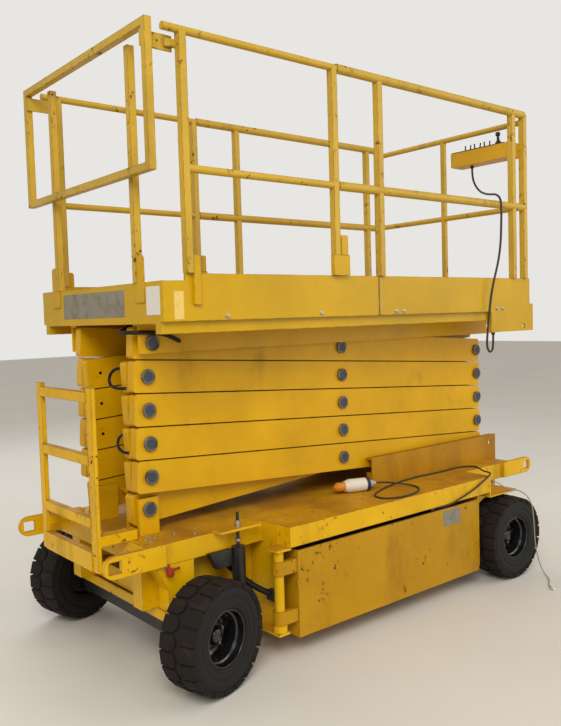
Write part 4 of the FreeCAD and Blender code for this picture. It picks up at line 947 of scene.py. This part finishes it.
def addBolts():
    bolt = hexBolt("bolt", bolts["radius"], bolts["height"], bolts["stud"])
    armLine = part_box("ladder")[1].y - bolts["ladderInset"]
    deck = [(x, side * (armLine + y), deckTop) for side in (1, -1) for x, y in bolts["deck"]]
    sliding, fixed = ([(x, platformNear, bolts["boardHeight"]) for x in bolts[word]]
                      for word in ("slidingBoard", "fixedBoard"))
    for name, body, direction, places in (("deck_bolts", "chassis", (0, 0, 1), deck),
                                          ("board_bolts_slide", "extension", (0, -1, 0), sliding),
                                          ("board_bolts_fixed", "platform", (0, -1, 0), fixed)):
        made = [copyPiece(bolt, along(direction, Vector(place) - Vector(direction) * 0.0005))
                for place in places]
        finishPiece(joinPieces(name, made), "zincPlate", body)
    bpy.data.objects.remove(bolt)


addBolts()

# nuts on the lock cylinders' studs, two above the deck's lug and one below
lockNut = {"radius": 0.0125, "height": 0.012, "studPlace": 0.451, "above": (0.012, 0.026), "below": 0.040}


def addLockNuts():
    low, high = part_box("axle_locks")
    radius, height = lockNut["radius"], lockNut["height"]
    rings = [(0, radius * 1.35), (0.002, radius * 1.35), (0.002, radius), (height, radius),
             (height + 0.001, radius * 0.85)]
    nut = turned("lockNut", rings, sides=6)
    made = []
    for side in (1, -1):
        stud = Vector(((low.x + high.x) / 2, side * lockNut["studPlace"], deckTop))
        for rise in lockNut["above"]:
            made.append(copyPiece(nut, along((0, 0, 1), stud + Vector((0, 0, rise)))))
        made.append(copyPiece(nut, along((0, 0, -1), stud - Vector((0, 0, lockNut["below"])))))
    bpy.data.objects.remove(nut)
    finishPiece(joinPieces("lock_nuts", made), "zincPlate", "chassis")


addLockNuts()

# red bleed valve on the near leg: a stem out of the leg, a bell-shaped body and a lever to the right
valve = {
    "place": (-1.160, -0.420, 0.484),
    "proud": 0.018,
    "stem": [(0, 0.014), (0.004, 0.014), (0.005, 0.008), (0.018, 0.008)],
    "bell": [(-0.026, 0.014), (-0.022, 0.0165), (-0.012, 0.016), (0.000, 0.013), (0.010, 0.008),
             (0.014, 0.0055), (0.024, 0.005), (0.026, 0.0035)],
    "lever": [(0, 0.010), (0.014, 0.0085), (0.020, 0.0055), (0.036, 0.0045), (0.040, 0.006),
              (0.048, 0.0055), (0.050, 0.003)],
    "leverDrop": 0.004,
    "bellLean": (-0.18, 0, 1),
    "leverLean": (1, 0, 0.08),
}


def addValve():
    x, y, z = valve["place"]
    stem = turned("valve_stem", valve["stem"], sides=24)
    stem.data.transform(along((0, -1, 0), (x, y + backing, z)))
    finishPiece(stem, "zincPlate", "chassis")
    bell = turned("valveBell", valve["bell"], sides=28)
    bell.data.transform(along(valve["bellLean"], (x, y - valve["proud"], z)))
    lever = turned("valveLever", valve["lever"], sides=20)
    lever.data.transform(along(valve["leverLean"], (x, y - valve["proud"], z - valve["leverDrop"])))
    finishPiece(joinPieces("valve_body", [bell, lever]), "valveRed", "chassis")


addValve()


# short hydraulic lines held at both ends, each bent round the left end of what carries it
lines = {
    "upper_arm_line": {"body": "inner_5", "radius": 0.0068, "points": [
        (-1.170, -0.1595, 1.302), (-1.178, -0.140, 1.303), (-1.196, -0.112, 1.300), (-1.208, -0.088, 1.280),
        (-1.213, -0.080, 1.252), (-1.216, -0.098, 1.229), (-1.217, -0.140, 1.220), (-1.214, -0.180, 1.219),
        (-1.206, -0.200, 1.220), (-1.197, -0.203, 1.221)]},
    "lower_arm_line": {"body": "inner_3", "radius": 0.0062, "points": [
        (-1.172, -0.1595, 1.020), (-1.180, -0.146, 1.020), (-1.200, -0.138, 1.012), (-1.211, -0.134, 0.990),
        (-1.214, -0.140, 0.966), (-1.215, -0.166, 0.952), (-1.211, -0.192, 0.946), (-1.197, -0.203, 0.944)]},
    "platform_line": {"body": "platform", "radius": 0.0085, "points": [
        (-1.150, -0.200, 1.497), (-1.176, -0.196, 1.476), (-1.206, -0.196, 1.460), (-1.224, -0.220, 1.456),
        (-1.228, -0.262, 1.456), (-1.220, -0.304, 1.456), (-1.190, -0.3265, 1.455),
        (-1.140, -0.3275, 1.453), (-1.085, -0.3275, 1.447), (-1.040, -0.3275, 1.432),
        (-1.000, -0.3275, 1.412)]},
}


def addLines():
    for name, settings in lines.items():
        pick(smoothTube(name, settings["points"], settings["radius"], steps=6, roundness=3))
        bpy.ops.object.convert(target="MESH")
        finishPiece(bpy.context.object, "hoseRubber", settings["body"], angle=60)


addLines()

# dark bracket between the beam and the axle's lock, with its front edge sloped
bracket = {"low": (-0.968, -0.452, 0.436), "high": (-0.850, -0.4195, 0.508), "slope": 0.030}


def addLockBrackets():
    low, high = Vector(bracket["low"]), Vector(bracket["high"])
    for word, side in (("near", 1), ("far", -1)):
        start, stop = sorted((low.y * side, high.y * side))
        piece = addBlock("lock_bracket_" + word, (low.x, start, low.z), (high.x, stop, high.z), 0.004)
        for vertex in piece.data.vertices:
            if vertex.co.x < (low.x + high.x) / 2:
                vertex.co.x += bracket["slope"] * (high.z - vertex.co.z) / (high.z - low.z)
        finishPiece(piece, "hydraulicBlack", "chassis")


addLockBrackets()
print("small parts made")


# floor, soft light all round and three lamps: place, size, power and colour
studio = {
    "floorSize": 60,
    "floorDrop": 0.0005,
    "aim": (0, 0, 1.0),
    "lamps": {
        "key": ((-4.5, -5.0, 5.5), 3.5, 330, (1.0, 0.95, 0.86)),
        "fill": ((4.0, -4.5, 3.0), 4.0, 90, (1.0, 0.97, 0.92)),
        "rear": ((1.0, 5.0, 5.0), 4.0, 120, (0.94, 0.97, 1.0)),
    },
}


def addFloor():
    clearAll()
    bpy.ops.mesh.primitive_plane_add(size=studio["floorSize"], location=(0, 0, -studio["floorDrop"]))
    floor = bpy.context.object
    floor.name = "floor"
    material, tree, shader = startMaterial("floorPaint", Roughness=0.85)
    cloud = addPatches(tree, scale=0.8, cover=0.6, soft=0.5)
    colour = addMix(tree, cloud, tone(214, 211, 206), tone(206, 203, 198))
    setSockets(tree, shader.inputs, {"Base Color": colour})
    floor.data.materials.append(material)


def addLight():
    world = bpy.data.worlds.new("studio")
    bpy.context.scene.world = world
    world.use_nodes = True
    tree = world.node_tree
    tree.nodes.clear()
    path = addNode(tree, "LightPath").outputs
    seen = addMath(tree, "MAXIMUM", path["Is Camera Ray"], path["Is Transmission Ray"])
    soft = addNode(tree, "Background", {"Color": tone(255, 250, 240), "Strength": 0.62}).outputs[0]
    shown = addNode(tree, "Background", {"Color": tone(232, 230, 226), "Strength": 1.0}).outputs[0]
    mixed = addNode(tree, "MixShader", {0: seen, 1: soft, 2: shown}).outputs[0]
    addNode(tree, "OutputWorld", {0: mixed})

    for name, (place, size, power, colour) in studio["lamps"].items():
        data = bpy.data.lights.new(name, "AREA")
        data.size = size
        data.energy = power
        data.color = colour
        lamp = bpy.data.objects.new(name, data)
        bpy.context.scene.collection.objects.link(lamp)
        lamp.location = place
        lamp.rotation_euler = (Vector(studio["aim"]) - Vector(place)).to_track_quat("-Z", "Y").to_euler()


addFloor()
addLight()
